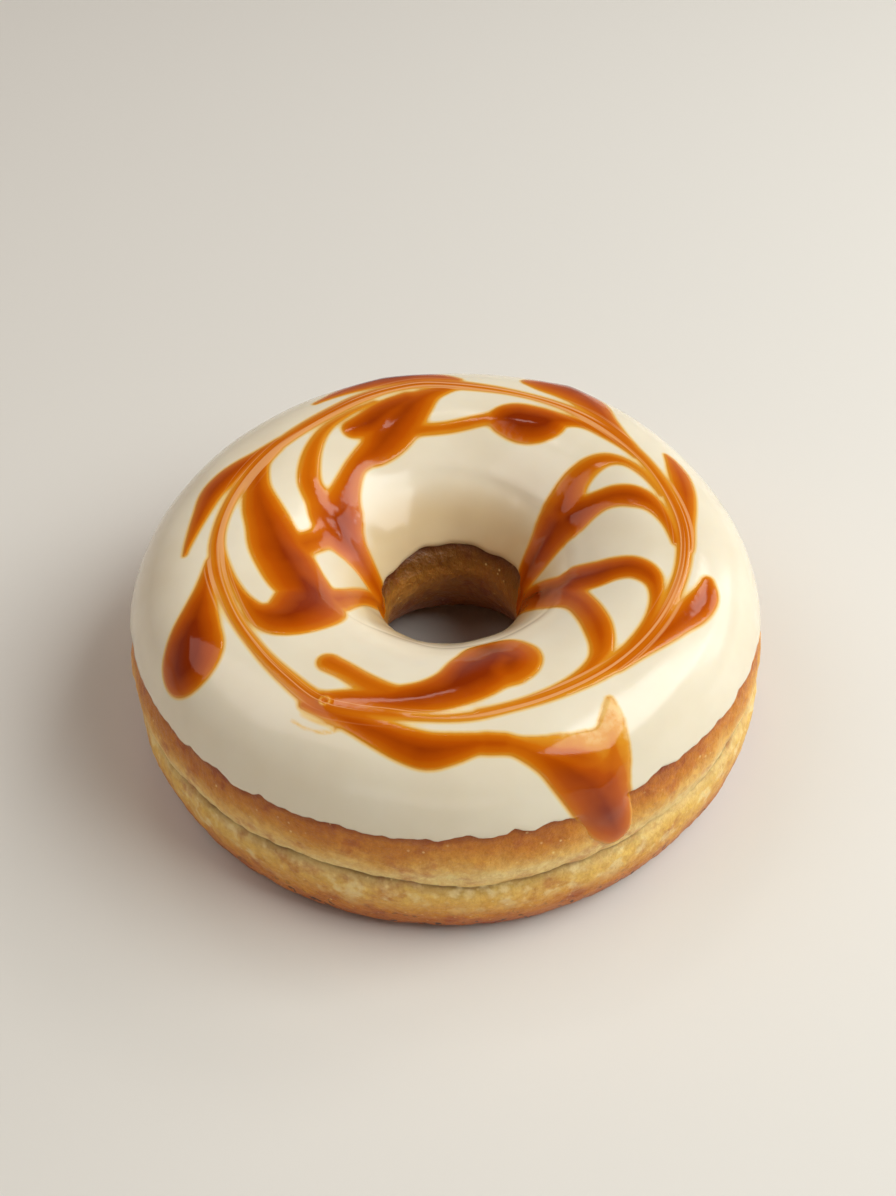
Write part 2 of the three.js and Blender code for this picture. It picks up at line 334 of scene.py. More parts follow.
class SkinNet:
    """A net wrapped round the doughnut, whose vertices remember their places.

    Weld is how near two vertices of the seam lie to be joined, in millimetres.
    """

    weld: float = 1e-4

    def __init__(
        self, handwork: Handwork, profile: Sequence[Reading], columns: int, closed: bool
    ) -> None:
        """Wraps a flat grid round the doughnut and welds its seams.

        Args:
            handwork: Puts places in space.
            profile: The reach and the lift of each row of the net.
            columns: How many columns go round.
            closed: Whether the last row joins the first.
        """
        self.handwork = handwork
        self.bm = bmesh.new()
        for name in ("bearing", "reach", "lift"):
            self.bm.verts.layers.float.new(name)
        rows = [*profile, profile[0]] if closed else list(profile)
        last_row = len(rows) - 1
        bmesh.ops.create_grid(self.bm, x_segments=columns, y_segments=last_row, size=0.5)
        seam = [vert for vert in self.bm.verts if vert.is_boundary]
        flat = np.array([vert.co[:] for vert in self.bm.verts])
        row = np.rint((flat[:, 1] + 0.5) * last_row).astype(int)
        self.bearing = flat[:, 0] * FULL_TURN
        self.reach = np.array(rows)[row, 0]
        self.lift = np.array(rows)[row, 1]
        self.settle()
        bmesh.ops.remove_doubles(self.bm, verts=seam, dist=self.handwork.section.unit * self.weld)
        bmesh.ops.recalc_face_normals(self.bm, faces=self.bm.faces[:])
        self.bearing = self.recall("bearing", self.bm.verts)
        self.reach = self.recall("reach", self.bm.verts)
        self.lift = self.recall("lift", self.bm.verts)

    @property
    def at(self) -> Places:
        """The places of the vertices."""
        return Places(self.bearing, self.reach)

    def recall(self, name: str, verts: Sequence[bmesh.types.BMVert]) -> np.ndarray:
        """Reads back a value kept on each of some vertices."""
        layer = self.bm.verts.layers.float[name]
        return np.array([vert[layer] for vert in verts])

    def remember(self, name: str, values: np.ndarray) -> None:
        """Keeps a value on every vertex, for the finish to read.

        Args:
            name: The attribute's name.
            values: One value for each vertex.
        """
        layers = self.bm.verts.layers.float
        layer = layers.get(name) or layers.new(name)
        for vert, value in zip(self.bm.verts, values.tolist()):
            vert[layer] = value

    def settle(self) -> None:
        """Moves every vertex to its bearing, reach and lift, and keeps them on it."""
        positions = self.handwork.place(self.at, self.lift)
        for vert, position in zip(self.bm.verts, positions.tolist()):
            vert.co = position
        self.remember("bearing", self.bearing)
        self.remember("reach", self.reach)
        self.remember("lift", self.lift)

    def piece(self, name: str, material: bpy.types.Material) -> bpy.types.Object:
        """Makes the finished net a piece of the scene.

        Args:
            name: The piece's name.
            material: Its finish.

        Returns:
            The new object, at the origin.
        """
        for face in self.bm.faces:
            face.smooth = True
        return put_in_scene(name, self.bm, material)


@dataclass(frozen=True)
class Stroke:
    """One stroke of caramel: bearing, reach and half width at each of its points."""

    richness: Richness
    points: tuple[StrokePoint, ...]
    parts: int = 5

    @cached_property
    def path(self) -> np.ndarray:
        """The stroke's points joined by a smooth Catmull-Rom curve.

        Returns:
            Bearing, reach and half width along the curve, one row each.
        """
        points = np.array(self.points)
        before = 2.0 * points[:1] - points[1:2]
        after = 2.0 * points[-1:] - points[-2:-1]
        guide = np.concatenate([before, points, after])
        rows = []
        for i in range(1, len(guide) - 2):
            p0, p1, p2, p3 = guide[i - 1:i + 3]
            slope = p2 - p0
            bend = 2.0 * p0 - 5.0 * p1 + 4.0 * p2 - p3
            twist = 3.0 * p1 - p0 - 3.0 * p2 + p3
            for part in range(self.parts):
                t = part / self.parts
                rows.append(0.5 * (2.0 * p1 + slope * t + bend * t ** 2 + twist * t ** 3))
        rows.append(points[-1])
        return np.array(rows)


# The thin ring that the skewer was dragged along. It closes on itself.
RING_STROKE = Stroke(Richness.AMBER, (
    (-180, 30.7, 0.9), (-170, 30.6, 0.85), (-160, 30.5, 0.8), (-146, 30.9, 0.8), (-137, 31.5, 0.9),
    (-129, 32.2, 1.1), (-119.5, 33.3, 1.3), (-112, 33.0, 1.15), (-104, 32.5, 0.8), (-96, 32.5, 0.5),
    (-86, 32.4, 0.6), (-76, 32.0, 0.55), (-64, 31.9, 0.8), (-50, 32.0, 1.2), (-36, 32.0, 1.25),
    (-24, 31.9, 1.0), (-12, 32.0, 1.0), (0, 32.1, 1.15), (12, 32.0, 1.05), (24, 32.0, 0.95),
    (36, 31.9, 1.0), (46, 31.9, 1.1), (56, 31.9, 0.8), (68, 32.0, 0.7), (78, 32.3, 1.0),
    (86, 33.0, 1.3), (94, 33.8, 1.2), (102, 33.5, 1.0), (111, 32.7, 1.3), (120, 31.6, 1.2),
    (130, 30.9, 1.1), (142, 30.7, 1.0), (156, 30.6, 0.85), (168, 30.6, 0.85), (180, 30.7, 0.9),
))

# Everything that was drawn inwards and outwards from the ring.
DRAWN_STROKES = (
    # Left: a broad hook, an arch into the hole, and the stem behind them with its branches.
    Stroke(Richness.BROWN, (
        (141, 30.2, 0.5), (147, 30.0, 0.9), (152, 29.2, 1.4), (157.5, 27.9, 1.9), (165, 25.7, 2.8),
        (172, 23.8, 3.4), (180, 22.3, 4.1), (188, 21.0, 4.4), (196, 20.1, 4.5), (203, 19.5, 4.4),
        (209, 20.3, 4.9), (213, 23.0, 4.3), (213.5, 25.4, 3.5), (209, 27.6, 1.9), (203, 28.3, 0.95),
        (195, 28.9, 0.6), (187, 29.5, 0.5), (180, 30.1, 0.35), (174, 30.5, 0.2),
    )),
    Stroke(Richness.AMBER, ((160, 15.8, 2.6), (168, 16.9, 1.9), (175, 18.8, 2.0))),
    Stroke(Richness.BROWN, (
        (174, 2.6, 1.7), (181, 3.6, 1.4), (188, 6.4, 1.5), (195, 9.4, 1.5), (202, 12.4, 1.7),
        (207, 15.5, 2.2),
    )),
    Stroke(Richness.BROWN, (
        (177, 2.2, 1.9), (173, 4.5, 2.1), (169, 6.8, 2.2), (164, 9.5, 2.4), (160.5, 12.0, 2.9),
        (157, 14.5, 3.8), (153, 16.3, 4.1),
    )),
    Stroke(Richness.AMBER, (
        (155, 17.4, 2.4), (150, 20.0, 2.1), (146, 22.4, 1.75), (139, 24.8, 1.45), (132, 26.9, 1.1),
        (125, 28.6, 0.8), (117, 29.7, 0.5), (108, 30.8, 0.3),
    )),
    Stroke(Richness.BROWN, (
        (150, 15.8, 3.6), (141, 17.4, 2.5), (134, 18.8, 1.9), (127, 20.3, 1.6), (121, 21.1, 1.9),
        (115.5, 21.6, 2.6), (109.5, 23.2, 3.4), (103.5, 25.6, 3.6), (98, 28.3, 3.0),
        (92.5, 30.6, 1.8), (86, 32.2, 0.9),
    )),
    Stroke(Richness.DARK, (
        (118.3, 26.3, 1.9), (112.5, 26.4, 2.7), (106, 27.8, 2.9), (99, 29.8, 2.1),
    )),
    Stroke(Richness.AMBER, ((100, 23.2, 1.1), (90, 23.2, 1.05), (83, 23.8, 1.1), (75, 25.1, 1.15))),
    # Back: the round drop at the end of the bridge, with its tail.
    Stroke(Richness.DARK, (
        (70, 25.7, 2.2), (66, 26.0, 3.5), (61, 26.0, 3.9), (56.5, 26.9, 3.2), (53, 28.6, 1.7),
        (47, 30.1, 0.85), (38, 30.6, 0.6), (28, 31.2, 0.35),
    )),
    # Right: one stem out of the hole, split by a sliver of icing.
    Stroke(Richness.DARK, (
        (3, 1.5, 1.8), (6, 4.0, 2.2), (11, 8.0, 2.7), (16, 12.0, 3.2), (20, 15.0, 3.8),
    )),
    Stroke(Richness.DARK, (
        (18.5, 17.0, 3.5), (17.5, 20.0, 2.4), (17, 22.5, 2.0), (15.8, 24.8, 2.1), (13, 27.0, 2.1),
        (8.5, 28.8, 1.5), (2, 30.0, 0.9), (-6, 30.8, 0.5),
    )),
    Stroke(Richness.AMBER, (
        (25, 17.0, 3.3), (30, 20.0, 2.5), (32, 22.5, 2.1), (32.3, 25.0, 1.75), (30.8, 27.3, 1.25),
        (27, 29.1, 0.75), (21, 30.2, 0.6), (12, 30.9, 0.4),
    )),
    # Right front: a second stem, split round an island of icing.
    Stroke(Richness.DARK, (
        (-8, 2.6, 1.9), (-14, 5.5, 2.4), (-21, 9.0, 2.9), (-26, 13.0, 3.3), (-25, 16.5, 3.4),
    )),
    Stroke(Richness.DARK, (
        (-22, 16.5, 3.3), (-20, 20.0, 2.8), (-17.6, 22.6, 2.35), (-16.8, 25.2, 2.1),
        (-18.8, 27.6, 1.75), (-23, 29.3, 1.1), (-30, 30.5, 0.7), (-42, 31.4, 0.4),
    )),
    Stroke(Richness.BROWN, (
        (-29, 15.5, 3.1), (-34.3, 19.6, 2.0), (-39.5, 23.2, 1.95), (-44, 26.3, 1.95),
        (-48.3, 28.8, 1.6), (-53, 30.2, 1.05), (-60, 30.9, 0.65), (-70, 31.3, 0.4),
        (-84, 31.8, 0.25),
    )),
    # Front: a fat lobe against the rim of the hole, with a heel and a finger.
    Stroke(Richness.DARK, (
        (-75.5, 21.6, 4.2), (-77.5, 23.3, 4.9), (-81.5, 24.9, 4.6), (-88, 27.2, 3.5),
        (-95, 28.9, 2.7), (-102, 29.9, 2.2), (-109, 30.7, 1.7), (-115, 31.6, 1.2),
        (-119, 32.4, 0.8),
    )),
    Stroke(Richness.AMBER, (
        (-76, 21.0, 4.0), (-72.4, 23.0, 3.9), (-71.0, 24.4, 3.7), (-73.5, 25.0, 3.7),
    )),
    Stroke(Richness.AMBER, (
        (-106, 29.2, 1.5), (-113, 28.2, 1.5), (-119, 27.4, 1.5), (-124, 27.2, 1.6),
    )),
    # Front: the long drip that ran past the icing, and the thin arm that joins it.
    Stroke(Richness.DARK, (
        (-122, 34.5, 0.6), (-116, 34.3, 1.1), (-110, 34.6, 1.5), (-104, 35.4, 2.0),
        (-99, 36.3, 2.3), (-94.5, 36.9, 2.4), (-90, 36.6, 2.0), (-85, 36.2, 1.4), (-80, 36.6, 1.2),
    )),
    Stroke(Richness.BROWN, (
        (-83, 36.3, 1.3), (-79, 36.9, 1.25), (-75.5, 38.2, 1.6), (-71.8, 40.0, 2.4),
        (-68.6, 42.3, 3.5), (-66, 45.0, 4.2), (-64.3, 48.5, 4.0), (-63.3, 51.5, 3.4),
        (-62.3, 53.9, 2.4),
    )),
    Stroke(Richness.AMBER, ((-63.5, 45.8, 3.5), (-61.8, 43.4, 2.6), (-60.6, 41.6, 1.7))),
    Stroke(Richness.FILM, (
        (-61.6, 42.6, 2.8), (-59.8, 39.9, 2.2), (-58.0, 37.6, 1.4), (-56.8, 36.0, 0.6),
    )),
    Stroke(Richness.FILM, (
        (-75, 38.0, 1.3), (-70.5, 39.3, 2.2), (-66.5, 40.6, 2.9), (-63.0, 41.0, 2.8),
    )),
    Stroke(Richness.FILM, (
        (-113, 35.6, 0.0), (-114, 36.6, -0.05), (-118, 37.2, -0.1), (-122.4, 36.9, -0.15),
    )),
    Stroke(Richness.FILM, ((-114, 35.4, 0.0), (-117, 35.9, -0.1), (-121, 35.8, -0.15))),
    # Outwards, right round: leaves, lobes and the fat teardrop on the left.
    Stroke(Richness.DARK, (
        (-50, 32.8, 0.5), (-43, 33.1, 0.9), (-37, 33.6, 1.35), (-31, 34.3, 1.8), (-25.5, 35.3, 2.1),
        (-20.5, 36.0, 1.8), (-16.5, 35.7, 0.9),
    )),
    Stroke(Richness.BROWN, (
        (-8, 32.7, 0.5), (0, 33.0, 0.9), (7, 33.8, 1.35), (13, 34.7, 1.7), (19, 35.7, 1.7),
        (23.5, 36.3, 1.1), (26, 36.4, 0.5),
    )),
    Stroke(Richness.BROWN, (
        (32, 32.4, 0.5), (38, 32.9, 0.9), (44, 33.8, 1.5), (49, 35.1, 2.4), (54, 36.7, 3.2),
        (58.5, 38.2, 3.7), (60, 40.0, 3.5),
    )),
    Stroke(Richness.BROWN, ((57, 37.2, 3.3), (63, 37.2, 3.0), (67.5, 36.7, 1.5))),
    Stroke(Richness.DARK, (
        (85, 34.6, 0.7), (90, 36.0, 1.6), (96, 37.2, 2.6), (103, 37.9, 3.3), (110, 37.4, 2.4),
        (116, 36.3, 1.1), (121, 35.6, 0.4),
    )),
    Stroke(Richness.DARK, ((102, 38.5, 3.3), (103, 40.6, 3.0), (104, 42.2, 2.0))),
    Stroke(Richness.DARK, (
        (186, 31.5, 0.5), (191, 32.0, 1.0), (196, 33.0, 1.6), (201, 34.5, 2.5), (205.5, 36.3, 3.6),
        (209, 38.0, 4.5), (210.2, 39.6, 4.2), (210, 41.0, 2.5),
    )),
    Stroke(Richness.DARK, (
        (138, 31.5, 0.4), (145, 32.0, 0.9), (150, 32.6, 1.5), (155, 33.3, 1.9), (161, 34.0, 1.85),
        (168, 34.0, 1.3), (175, 34.3, 0.8), (182, 34.9, 0.3),
    )),
)


@dataclass(frozen=True)
class CaramelWeb:
    """Says how deep inside the caramel any place is, and how rich the caramel is there.

    Join is how far apart two strokes' edges still run together, margin is how far outside a
    stroke depths are counted, and blend is how far one richness runs into the next, all in
    millimetres.
    """

    section: RingSection
    strokes: tuple[Stroke, ...] = (RING_STROKE, *DRAWN_STROKES)
    join: float = 0.7
    margin: float = 4.0
    blend: float = 0.6
    blend_depth: float = 1.5

    def _stroke_depth(self, stroke: Stroke, at: Places) -> np.ndarray:
        """Measures how far inside one stroke each place is.

        Args:
            stroke: The stroke.
            at: The places.

        Returns:
            Millimetres in from the stroke's edge, negative outside it.
        """
        path = stroke.path
        middle = float(path[:, 0].min() + path[:, 0].max()) / 2.0
        scale = np.radians(self.section.radius_at(at.reach))
        near = turned_to(at.bearing, middle)
        depth = np.full(len(near), -self.margin)
        for start, end in zip(path[:-1], path[1:]):
            x = (start[0] - near) * scale
            y = start[1] - at.reach
            run_x = (end[0] - near) * scale - x
            run_y = end[1] - at.reach - y
            share = np.clip(-(x * run_x + y * run_y) / (run_x ** 2 + run_y ** 2 + TINY), 0.0, 1.0)
            distance = np.hypot(x + share * run_x, y + share * run_y)
            half_width = start[2] + (end[2] - start[2]) * share
            depth = np.maximum(depth, half_width - distance)
        return depth

    def _close_to(self, stroke: Stroke, at: Places) -> np.ndarray:
        """Picks out the places that a stroke can have a say in.

        Args:
            stroke: The stroke.
            at: The places.

        Returns:
            Their indices.
        """
        path = stroke.path
        widest = path[:, 2].max() + self.margin
        half_run = (path[:, 0].max() - path[:, 0].min()) / 2.0
        middle = path[:, 0].min() + half_run
        past_end = np.radians(np.abs(at.past(middle)) - half_run)
        along = past_end * self.section.radius_at(at.reach) < widest
        across = (at.reach > path[:, 1].min() - widest) & (at.reach < path[:, 1].max() + widest)
        return np.nonzero(across & along)[0]

    def measure(self, at: Places) -> tuple[np.ndarray, np.ndarray]:
        """Joins the strokes as wet caramel joins, with rounded crotches.

        Args:
            at: The places.

        Returns:
            The depth in millimetres, negative on bare icing, and the richness.
        """
        depth = np.full(len(at.reach), -self.margin)
        richness = np.zeros(len(at.reach))
        weight = np.full(len(at.reach), TINY)
        for stroke in self.strokes:
            close = self._close_to(stroke, at)
            part = self._stroke_depth(stroke, at.some(close))
            so_far = depth[close]
            gap = np.abs(so_far - part)
            fillet = np.maximum(self.join - gap, 0.0) ** 2 / (4.0 * self.join)
            depth[close] = np.maximum(so_far, part) + np.where(part > -self.margin, fillet, 0.0)
            pull = np.exp(np.clip(part, -self.margin, self.blend_depth) / self.blend)
            richness[close] += pull * stroke.richness.value
            weight[close] += pull
        return depth, richness / weight

    def off_ring(self, at: Places) -> np.ndarray:
        """Gives each place's distance outwards from the middle of the thin ring."""
        path = RING_STROKE.path
        return at.reach - np.interp(at.past(0.0), path[:, 0], path[:, 1])

    def mark(self, net: SkinNet, depth: np.ndarray, richness: np.ndarray) -> None:
        """Keeps on a net what the colours of icing and caramel read.

        Args:
            net: The net.
            depth: The depth in the caramel at each of its vertices.
            richness: The richness there.
        """
        net.remember("depth", depth)
        net.remember("richness", richness)
        net.remember("off_ring", self.off_ring(net.at))


@dataclass(frozen=True)
class HoleFold:
    """The fold that the icing set in round the rim of the hole, crisp in front, soft behind.

    It lies nearer the hole by the lean on the right, and by the dip at one place in front.
    The spans of cosines and sines say what counts as right and as behind.
    """

    reach: float = 15.8
    lean: float = 1.6
    lean_bearing: float = 38.0
    lean_cosines: Span = (-0.4, 0.9)
    dip: float = 2.2
    dip_bearing: float = -118.0
    dip_half_width: float = 16.0
    behind_sines: Span = (-0.1, 0.6)
    crisp_lift: float = -0.07
    crisp_half_width: float = 0.35
    soft_lift: float = -0.10
    soft_half_width: float = 1.6
    shelf_lift: float = 0.06
    shelf_offset: float = 1.4
    shelf_half_width: float = 1.2

    def lift(self, at: Places) -> np.ndarray:
        """Shapes the icing at the fold.

        Args:
            at: The places.

        Returns:
            Their lifts.
        """
        on_right = eased(np.cos(at.angle), *self.lean_cosines)
        behind = eased(np.sin(at.angle), *self.behind_sines)
        lean = self.lean * np.cos(at.angle - math.radians(self.lean_bearing)) * on_right
        dip = self.dip * hump(at.past(self.dip_bearing), self.dip_half_width)
        past = at.reach - (self.reach - lean - dip)
        crisp = (1.0 - behind) * self.crisp_lift * hump(past, self.crisp_half_width)
        soft = behind * self.soft_lift * hump(past, self.soft_half_width)
        shelf = self.shelf_lift * hump(past - self.shelf_offset, self.shelf_half_width)
        return crisp + soft + shelf


@dataclass(frozen=True)
class IcingEdges:
    """Where the icing ends, how its surface swells, and what lies at the skin beyond it.

    A pit is a small bite out of the outer edge: its bearing, its depth in millimetres and
    its half width in degrees. A surface wave also has a slant, in radians a millimetre.
    """

    outer_reach: float = 49.6
    outer_ripples: tuple[Ripple, ...] = ((1, 0.7, 0.35), (3, 0.35, 1.1))
    outer_nibbles: tuple[Ripple, ...] = (
        (17, 0.16, 0.4), (31, 0.12, 2.0), (53, 0.10, 4.1), (89, 0.08, 1.3), (149, 0.07, 0.2),
    )
    nibble_drift: float = 1.5
    nibble_drifts: int = 5
    pits: tuple[Pit, ...] = (
        (-146, 0.3, 1.5), (-141.5, 0.45, 1.3), (-134, 0.4, 1.8), (-124.6, 0.9, 1.4),
        (-112, 0.3, 2.0), (-95, 0.25, 1.4), (-88, 0.35, 0.9), (-80, 0.6, 1.3), (-74, 0.5, 1.2),
        (-52, 0.5, 2.0), (-44, 0.4, 2.2), (-37, 0.35, 1.7), (-29, 0.35, 1.9), (-17, 0.4, 2.4),
        (35, 0.5, 2.0), (72, 0.6, 2.2), (110, 0.4, 2.0), (128, 0.7, 1.8), (165, 0.5, 2.0),
        (-168, 0.4, 2.1),
    )
    inner_reach: float = 4.0
    inner_lean: float = 0.8
    inner_lean_bearing: float = 55.0
    inner_ripples: tuple[Ripple, ...] = ((4, 0.25, 0.8), (9, 0.18, 2.4), (17, 0.08, 0.3))
    surface_waves: tuple[tuple[int, float, float, float], ...] = (
        (3, 0.07, 0.21, 0.7),
        (7, 0.05, -0.33, 2.1),
        (13, 0.03, 0.47, 0.0),
    )
    fold: HoleFold = HoleFold()
    lip_depth: float = 0.6
    lip_before: float = -0.5
    lip_after: float = 1.1
    shoulder_run: float = 6.0
    outer_overhang: float = 2.6
    outer_softening: float = 1.8
    inner_overhang: float = 1.2

    def outer(self, at: Places) -> np.ndarray:
        """Draws the icing's outer edge, wavy, nibbled and pitted.

        Args:
            at: The places, of which the bearings count.

        Returns:
            Its reach at the bearing of each.
        """
        angle = at.angle
        edge = self.outer_reach + ripples(angle, self.outer_ripples)
        for count, size, start in self.outer_nibbles:
            drift = self.nibble_drift * np.sin(self.nibble_drifts * angle + start)
            edge = edge + size * np.sin(count * angle + start + drift)
        for middle, bite, half_width in self.pits:
            edge = edge - bite * hump(at.past(middle), half_width)
        return edge

    def inner(self, at: Places) -> np.ndarray:
        """Draws the icing's edge in the hole.

        Args:
            at: The places, of which the bearings count.

        Returns:
            Its reach at the bearing of each.
        """
        lean = self.inner_lean * np.cos(at.angle - math.radians(self.inner_lean_bearing))
        return self.inner_reach + lean + ripples(at.angle, self.inner_ripples)

    def swell(self, at: Places) -> np.ndarray:
        """Gives the icing's surface its gentle unevenness and its fold.

        Args:
            at: The places.

        Returns:
            Their lifts.
        """
        uneven = sum(
            size * np.sin(count * at.angle + slant * at.reach + start)
            for count, size, slant, start in self.surface_waves
        )
        return uneven + self.fold.lift(at)

    def past(self, at: Places) -> np.ndarray:
        """Gives how far past the nearer edge of the icing each place is, negative under it."""
        return np.maximum(at.reach - self.outer(at), self.inner(at) - at.reach)

    def dough_lift(self, at: Places) -> np.ndarray:
        """Gives how far the bare dough lies inside the skin near the icing's edges."""
        past = np.maximum(self.past(at), 0.0)
        return -self.lip_depth * (1.0 - eased(past, 0.0, self.shoulder_run))

    def surface_lift(self, at: Places, overhang: np.ndarray | float) -> np.ndarray:
        """Finds the lift of what the caramel lies on.

        Args:
            at: The places.
            overhang: How far the caramel hangs past the icing's lips before it comes down,
                from 0 to 1.

        Returns:
            The lifts, with the icing's lips softened.
        """
        wavy = self.outer(at)
        outer = wavy + (self.outer_reach - wavy) * overhang
        before_outer = outer + self.outer_overhang * overhang - at.reach
        past_inner = at.reach - self.inner(at) + self.inner_overhang * overhang
        softened = before_outer / (1.0 + self.outer_softening * overhang)
        inside = eased(softened, self.lip_before, self.lip_after)
        inside = inside * eased(past_inner, self.lip_before, self.lip_after)
        return inside * self.swell(at) + (1.0 - inside) * self.dough_lift(at)


class Blend(Enum):
    """How a colour is laid over another: in its place, or as a stain that darkens it."""

    COVER = "MIX"
    STAIN = "MULTIPLY"


@dataclass(frozen=True)
class Blotches:
    """Soft random blotches on a finish.

    Grain is their size in metres. Where the noise is under bare nothing shows, and where it
    is over full the blotch shows in full.
    """

    grain: float
    detail: float
    bare: float
    full: float
    rough: float = 0.5
    smooth: bool = False


@dataclass(frozen=True)
class Layer:
    """A colour laid over a finish, at a strength from 0 to 1, in blotches or evenly."""

    colour: Colour
    strength: float = 1.0
    blotches: Blotches | None = None
    blend: Blend = Blend.STAIN


@dataclass(frozen=True)
class Relief:
    """Fine unevenness of a finish, with its grain and depth in metres."""

    grain: float
    depth: float
    detail: float = 2.0
    rough: float = 0.5


class NodeBoard:
    """Lays out and joins up the nodes of one material."""

    def __init__(self, name: str) -> None:
        """Starts a material with a bare Principled surface.

        Args:
            name: The material's name.
        """
        self.material = bpy.data.materials.new(name)
        self.material.use_nodes = True
        self.tree = self.material.node_tree
        self.surface = self.tree.nodes["Principled BSDF"]
        self.place = self.tree.nodes.new("ShaderNodeTexCoord").outputs["Object"]

    def _feed(self, socket: Socket, value: Any) -> None:
        """Joins a socket to another, or sets its value.

        Args:
            socket: The socket.
            value: The other socket, or a number or colour.
        """
        if isinstance(value, Socket):
            self.tree.links.new(value, socket)
        else:
            socket.default_value = value

    def set(self, **values: Any) -> None:
        """Sets or feeds the surface's sockets, each named with _ for a space."""
        for name, value in values.items():
            self._feed(self.surface.inputs[name.replace("_", " ")], value)

    def attribute(self, name: str) -> Socket:
        """Reads a number kept on the piece's vertices.

        Args:
            name: The attribute's name.

        Returns:
            The number.
        """
        node = self.tree.nodes.new("ShaderNodeAttribute")
        node.attribute_name = name
        return node.outputs["Fac"]

    def maths(self, operation: str, first: Any, second: Any = 0.0) -> Socket:
        """Works out one sum.

        Args:
            operation: The Math node's operation.
            first: The first number or socket.
            second: The second number or socket.

        Returns:
            The result.
        """
        node = self.tree.nodes.new("ShaderNodeMath")
        node.operation = operation
        self._feed(node.inputs[0], first)
        self._feed(node.inputs[1], second)
        return node.outputs[0]

    def plus(self, first: Any, second: Any) -> Socket:
        """Adds two numbers."""
        return self.maths("ADD", first, second)

    def times(self, first: Any, second: Any) -> Socket:
        """Multiplies two numbers."""
        return self.maths("MULTIPLY", first, second)

    def rest_of(self, share: Socket) -> Socket:
        """Gives what a share leaves of 1."""
        return self.maths("SUBTRACT", 1.0, share)

    def spread(self, value: Socket, low: float, high: float, smooth: bool = False) -> Socket:
        """Maps a range of numbers onto 0 to 1.

        Args:
            value: The number to map.
            low: What becomes 0.
            high: What becomes 1.
            smooth: Whether the ends ease in and out.

        Returns:
            The mapped number, kept between 0 and 1.
        """
        node = self.tree.nodes.new("ShaderNodeMapRange")
        node.interpolation_type = "SMOOTHSTEP" if smooth else "LINEAR"
        node.inputs["From Min"].default_value = low
        node.inputs["From Max"].default_value = high
        self.tree.links.new(value, node.inputs["Value"])
        return node.outputs["Result"]

    def ramp(self, value: Socket, stops: Sequence[tuple[float, Colour]]) -> Socket:
        """Colours a number.

        Args:
            value: The number.
            stops: Numbers in rising order, each with its colour.

        Returns:
            The colour.
        """
        low = stops[0][0]
        high = stops[-1][0]
        node = self.tree.nodes.new("ShaderNodeValToRGB")
        elements = node.color_ramp.elements
        while len(elements) < len(stops):
            elements.new(0.5)
        for element, (number, colour) in zip(elements, stops):
            element.position = (number - low) / (high - low)
            element.color = colour
        self.tree.links.new(self.spread(value, low, high), node.inputs["Fac"])
        return node.outputs["Color"]

    def mix(self, share: Any, first: Any, second: Any, blend: Blend = Blend.COVER) -> Socket:
        """Mixes two colours.

        Args:
            share: How much of the second colour, from 0 to 1.
            first: The first colour or socket.
            second: The second colour or socket.
            blend: How the second colour is laid over the first.

        Returns:
            The mixed colour.
        """
        node = self.tree.nodes.new("ShaderNodeMix")
        node.data_type = "RGBA"
        node.blend_type = blend.value
        self._feed(node.inputs["Factor"], share)
        self._feed(node.inputs["A"], first)
        self._feed(node.inputs["B"], second)
        return node.outputs["Result"]

    def noise(
        self, grain: float, detail: float = 2.0, rough: float = 0.5, at: Socket | None = None
    ) -> Socket:
        """Makes soft random mottling.

        Args:
            grain: The size of the mottles, in metres, or in the units of at.
            detail: How many finer layers it has.
            rough: How strong the finer layers are.
            at: Where to read it, if not in object space.

        Returns:
            A number about 0.5.
        """
        node = self.tree.nodes.new("ShaderNodeTexNoise")
        node.inputs["Scale"].default_value = 1.0 / grain
        node.inputs["Detail"].default_value = detail
        node.inputs["Roughness"].default_value = rough
        self.tree.links.new(at or self.place, node.inputs["Vector"])
        return node.outputs["Fac"]

    def blotches(self, kind: Blotches) -> Socket:
        """Scatters blotches over the piece, as shares from 0 to 1."""
        cloud = self.noise(kind.grain, kind.detail, kind.rough)
        return self.spread(cloud, kind.bare, kind.full, kind.smooth)

    def dots(self, grain: float, full: float, bare: float) -> Socket:
        """Scatters small round dots over the piece.

        Args:
            grain: How far apart they are, in metres.
            full: How far from a dot's middle it shows in full, in grains.
            bare: How far from its middle nothing of it shows, in grains.

        Returns:
            Shares from 0 to 1.
        """
        node = self.tree.nodes.new("ShaderNodeTexVoronoi")
        node.inputs["Scale"].default_value = 1.0 / grain
        self.tree.links.new(self.place, node.inputs["Vector"])
        return self.rest_of(self.spread(node.outputs["Distance"], full, bare, True))

    def combed(self, across: Socket, along_grain: float, across_grain: float) -> Socket:
        """Makes a place that changes fast across the ring and slowly along it.

        Args:
            across: Millimetres across the ring.
            along_grain: Metres for one step along the ring.
            across_grain: Millimetres for one step across it.

        Returns:
            The place, for noise to read.
        """
        split = self.tree.nodes.new("ShaderNodeSeparateXYZ")
        self.tree.links.new(self.place, split.inputs[0])
        join = self.tree.nodes.new("ShaderNodeCombineXYZ")
        self._feed(join.inputs[0], self.maths("DIVIDE", split.outputs[0], along_grain))
        self._feed(join.inputs[1], self.maths("DIVIDE", split.outputs[1], along_grain))
        self._feed(join.inputs[2], self.maths("DIVIDE", across, across_grain))
        return join.outputs[0]

    def lay(self, under: Socket, layer: Layer, where: Socket | None = None) -> Socket:
        """Lays a colour over another.

        Args:
            under: The colour so far.
            layer: What to lay over it.
            where: Where to lay it, as shares from 0 to 1, if not everywhere.

        Returns:
            The colour.
        """
        share = layer.strength
        if layer.blotches is not None:
            share = self.times(self.blotches(layer.blotches), share)
        if where is not None:
            share = self.times(where, share)
        return self.mix(share, under, layer.colour, layer.blend)

